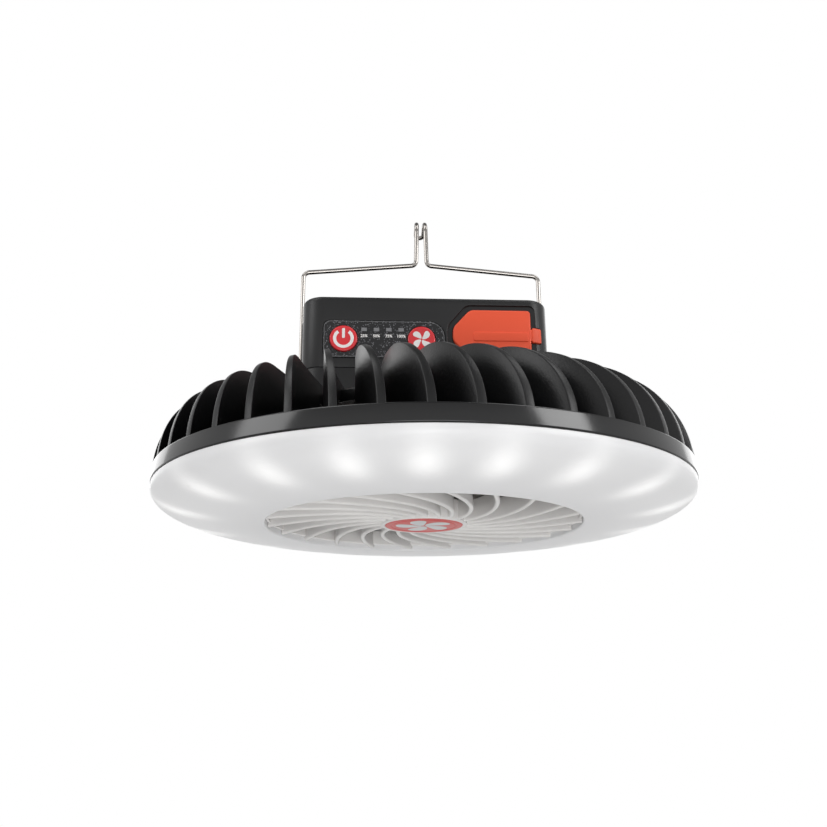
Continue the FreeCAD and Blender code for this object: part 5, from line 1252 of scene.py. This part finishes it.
@dataclass
class Hanger:
    """Bent wire hanger: ends in the box, legs, sloping arms, two posts and a double hook turned back."""

    radius: float = 1.05
    end: float = 47.3
    half_width: float = 54.95
    pivot: float = 58.0
    shoulder: float = 119.0
    centre: float = 123.8
    foot_gap: float = 2.5
    top_gap: float = 1.85
    hook_start: float = 141.4
    hook_radius: float = 6.5
    hook_turn: float = 115.0
    hook_tip: float = 3.0

    def path(self) -> np.ndarray:
        """Middle line of the wire: straight runs joined by tangent arcs, one half mirrored into the other."""
        turn = math.radians(self.hook_turn)
        trim = self.hook_radius * math.tan(turn / 2)
        reach = trim + self.hook_tip + self.top_gap
        top = self.hook_start + trim
        half = np.array([(-self.end, 0, self.pivot), (-self.half_width, 0, self.pivot),
                         (-self.half_width, 0, self.shoulder), (-self.foot_gap, 0, self.centre),
                         (-self.top_gap, 0, top),
                         (-self.top_gap, reach * math.sin(turn), top + reach * math.cos(turn))])
        bends = [0, 2.5, 3.0, 2.5, self.hook_radius, self.top_gap]
        corners = np.concatenate([half, half[::-1] * np.array([-1, 1, 1])])
        line = rounded(corners, bends + bends[::-1], 14)
        apart = np.linalg.norm(np.diff(line, axis=0), axis=1) > 1e-5
        line = line[np.concatenate([[True], apart])]
        reach = np.concatenate([[0], np.cumsum(np.linalg.norm(np.diff(line, axis=0), axis=1))])
        even = np.unique(np.concatenate([reach, np.linspace(0, reach[-1], 90)]))
        return np.stack([np.interp(even, reach, line[:, axis]) for axis in range(3)], axis=1)

    def build(self) -> None:
        """Build the wire."""
        skin = Skin()
        tube(skin, self.path(), self.radius)
        piece("wire_bail", skin.mesh("wire_bail", 60), WIRE_STEEL, Body.HANGER, ["hanger_wire"])


@dataclass
class CadParts:
    """CAD nodes that keep their shape and get a finish."""

    finishes: tuple[tuple[str, Finish], ...] = (
        ("lens_seal", SEAL_RUBBER), ("lens_screws", SCREW_STEEL), ("led_board", BOARD_WHITE),
        ("led_chips", CHIP_YELLOW), ("led_screws", SCREW_STEEL), ("motor_shaft", SCREW_STEEL),
        ("motor_can", PLATED_NICKEL), ("motor_cap", SWITCH_BLACK), ("motor_bearings", SCREW_STEEL),
        ("motor_rotor", MAGNET_GREY), ("motor_stator", WINDING_COPPER), ("motor_screws", SCREW_STEEL),
        ("box_screws", SCREW_STEEL), ("control_panel", PANEL_FILM), ("button_switches", SWITCH_BLACK),
        ("indicator_lights", WINDOW_GREY), ("control_board", BOARD_GREEN), ("board_screws", SCREW_STEEL),
        ("usb_a_port", PLATED_NICKEL), ("usb_c_port", PLATED_NICKEL), ("battery_cells", CELL_FILM),
        ("battery_holder", TRAY_BLACK), ("battery_contacts", PLATED_NICKEL), ("battery_pad", FOAM_GREY),
        ("hanger_bushes", ACETAL_BLACK), ("hanger_clips", SCREW_STEEL), ("lamp_lead", LEAD_RED),
        ("motor_lead", LEAD_BLACK),
    )

    def build(self) -> None:
        """Dress each node: loose triangles joined and shaded smooth between sharp edges, and its finish."""
        for name, finish in self.finishes:
            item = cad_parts[name]
            item.data.polygons.foreach_set("use_smooth", np.ones(len(item.data.polygons), dtype=bool))
            item.data.materials.clear()
            item.data.materials.append(finish.material())
            weld = item.modifiers.new("weld", "WELD")
            weld.merge_threshold = 1e-6
            split = item.modifiers.new("sharp_edges", "EDGE_SPLIT")
            split.split_angle = math.radians(32)
            log.info("%s: CAD node, dressed", name)


@dataclass
class Studio:
    """Camera, soft lamps, white surroundings and pale floor.

    Each lamp is given as its method takes it: name, azimuth, elevation, distance, size and power.
    """

    distance: float = 402.5
    camera_height: float = -72.3
    pitch: float = 17.054
    yaw: float = -0.591
    roll: float = -0.375
    turn: float = 3.8
    focal_length: float = 40.966
    floor_height: float = -550.0
    floor_radius: float = 1500.0
    ambient: float = 0.25
    zenith: float = 0.25
    lamps: tuple[tuple[str, float, float, float, tuple[float, float], float], ...] = (
        ("left_softbox", -157.0, 23.0, 1.15, (0.45, 0.50), 3.0),
        ("right_softbox", -39.0, 21.0, 1.15, (0.40, 0.40), 4.0),
        ("back_left_lamp", 127.0, 18.0, 1.3, (0.6, 0.6), 1.6),
        ("back_right_lamp", 50.0, 18.0, 1.3, (0.6, 0.6), 1.6),
        ("top_left_lamp", -155.0, 60.0, 1.3, (0.6, 0.6), 3.6),
        ("top_right_lamp", -25.0, 60.0, 1.3, (0.6, 0.6), 3.6),
        ("front_lamp", -90.0, -20.0, 1.2, (0.6, 0.4), 4.2),
        ("low_lamp", -90.0, -48.0, 0.42, (0.3, 0.2), 0.2),
    )

    def build_camera(self) -> None:
        """Place the camera: its direction and tilt, turned with it about the fan's axis."""
        pitch, yaw, roll = (math.radians(angle) for angle in (self.pitch, self.yaw, self.roll))
        level = Vector((math.sin(yaw), math.cos(yaw), 0))
        right = Vector((math.cos(yaw), -math.sin(yaw), 0))
        upright = Vector((0, 0, 1))
        forward = math.cos(pitch) * level + math.sin(pitch) * upright
        up = -math.sin(pitch) * level + math.cos(pitch) * upright
        across = math.cos(roll) * right + math.sin(roll) * up
        rise = -math.sin(roll) * right + math.cos(roll) * up
        place = Vector((0, -self.distance, self.camera_height)) * MILLIMETRE
        pose = Matrix((across, rise, -forward)).transposed().to_4x4()
        data = bpy.data.cameras.new("camera")
        data.lens = self.focal_length
        data.sensor_width = 36.0
        data.clip_start = 0.01
        camera = bpy.data.objects.new("camera", data)
        bpy.context.scene.collection.objects.link(camera)
        turned = Matrix.Rotation(math.radians(-self.turn), 4, "Z")
        camera.matrix_world = turned @ Matrix.Translation(place) @ pose
        bpy.context.scene.camera = camera

    def lamp(self, name: str, azimuth: float, elevation: float, distance: float, size: tuple[float, float],
             power: float) -> None:
        """Add a soft lamp that faces the fan.

        Args:
            name: Name of the lamp.
            azimuth: Its direction in plan, in degrees from the right, -90 being the front.
            elevation: Its direction over the level, in degrees.
            distance: Its distance from the fan's middle, in metres.
            size: Its width and height, in metres.
            power: Its power, in watts.
        """
        data = bpy.data.lights.new(name, "AREA")
        data.shape = "RECTANGLE"
        data.size, data.size_y = size
        data.energy = power
        item = bpy.data.objects.new(name, data)
        bpy.context.scene.collection.objects.link(item)
        turn, rise = math.radians(azimuth), math.radians(elevation)
        way = Vector((math.cos(turn) * math.cos(rise), math.sin(turn) * math.cos(rise), math.sin(rise)))
        item.location = way * distance + Vector((0, 0, 0.03))
        item.rotation_euler = (-way).to_track_quat("-Z", "Y").to_euler()
        item.visible_camera = False

    def build_world(self) -> None:
        """Make the surroundings: white to the eye, darker overhead in reflections, softer as a light."""
        world = bpy.data.worlds.new("studio")
        world.use_nodes = True
        tree = world.node_tree
        tree.nodes.clear()
        path = add_node(tree, "ShaderNodeLightPath")
        way = add_node(tree, "ShaderNodeSeparateXYZ",
                       links={0: add_node(tree, "ShaderNodeTexCoord").outputs["Generated"]})
        sky = add_node(tree, "ShaderNodeMapRange", {"From Min": 0.35, "From Max": 0.85, "To Min": 1.0,
                                                    "To Max": self.zenith}, {"Value": way.outputs["Z"]})
        light = add_node(tree, "ShaderNodeMix", {"data_type": "FLOAT", 2: self.ambient},
                         {0: path.outputs["Is Glossy Ray"], 3: sky.outputs["Result"]})
        seen = add_node(tree, "ShaderNodeMath", {"operation": "MAXIMUM"},
                        {0: path.outputs["Is Camera Ray"], 1: path.outputs["Is Transmission Ray"]})
        strength = add_node(tree, "ShaderNodeMix", {"data_type": "FLOAT", 3: 1.0},
                            {0: seen.outputs[0], 2: light.outputs[0]})
        ground = add_node(tree, "ShaderNodeBackground", {"Color": (1, 1, 1, 1)},
                          {"Strength": strength.outputs[0]})
        add_node(tree, "ShaderNodeOutputWorld", links={"Surface": ground.outputs["Background"]})
        bpy.context.scene.world = world

    def build_floor(self) -> None:
        """Make the pale floor: a round sheet that takes shadows, with an even glow for camera rays that
        brings it near the white around it.
        """
        skin = Skin()
        turn = np.linspace(0, 2 * math.pi, 96, endpoint=False)[None, :]
        radius = np.array([1.0, 400.0, 900.0, self.floor_radius])[:, None]
        points = np.stack([radius * np.cos(turn), radius * np.sin(turn),
                           np.full((4, 96), self.floor_height)], axis=-1)
        skin.grid(points, close_columns=True)
        floor = bpy.data.objects.new("studio_floor", skin.mesh("studio_floor"))
        bpy.context.scene.collection.objects.link(floor)
        material = bpy.data.materials.new("paper_white")
        material.use_nodes = True
        tree = material.node_tree
        tree.nodes.clear()
        paper = add_node(tree, "ShaderNodeBsdfDiffuse", {"Color": hex_to_linear("#e6e6e6")})
        seen = add_node(tree, "ShaderNodeEmission", {"Color": (1, 1, 1, 1), "Strength": 0.35})
        both = add_node(tree, "ShaderNodeAddShader", links={0: paper.outputs[0], 1: seen.outputs[0]})
        path = add_node(tree, "ShaderNodeLightPath")
        mixed = add_node(tree, "ShaderNodeMixShader",
                         links={0: path.outputs["Is Camera Ray"], 1: paper.outputs[0], 2: both.outputs[0]})
        add_node(tree, "ShaderNodeOutputMaterial", links={"Surface": mixed.outputs[0]})
        floor.data.materials.append(material)

    def build(self) -> None:
        """Set the camera, the surroundings, the floor and the lamps."""
        scene = bpy.context.scene
        scene.view_settings.view_transform = "Standard"
        self.build_camera()
        self.build_world()
        self.build_floor()
        for lamp in self.lamps:
            self.lamp(*lamp)


def main() -> None:
    """Build the studio and every sub-assembly, logging each piece as it is made."""
    logging.basicConfig(level=logging.INFO, format="%(message)s")
    Studio().build()
    front = Front()
    Lens().build()
    Housing().build()
    Grille().build()
    FanWheel().build()
    Box().build(front)
    front.build()
    Hanger().build()
    CadParts().build()


if __name__ == "__main__":
    main()
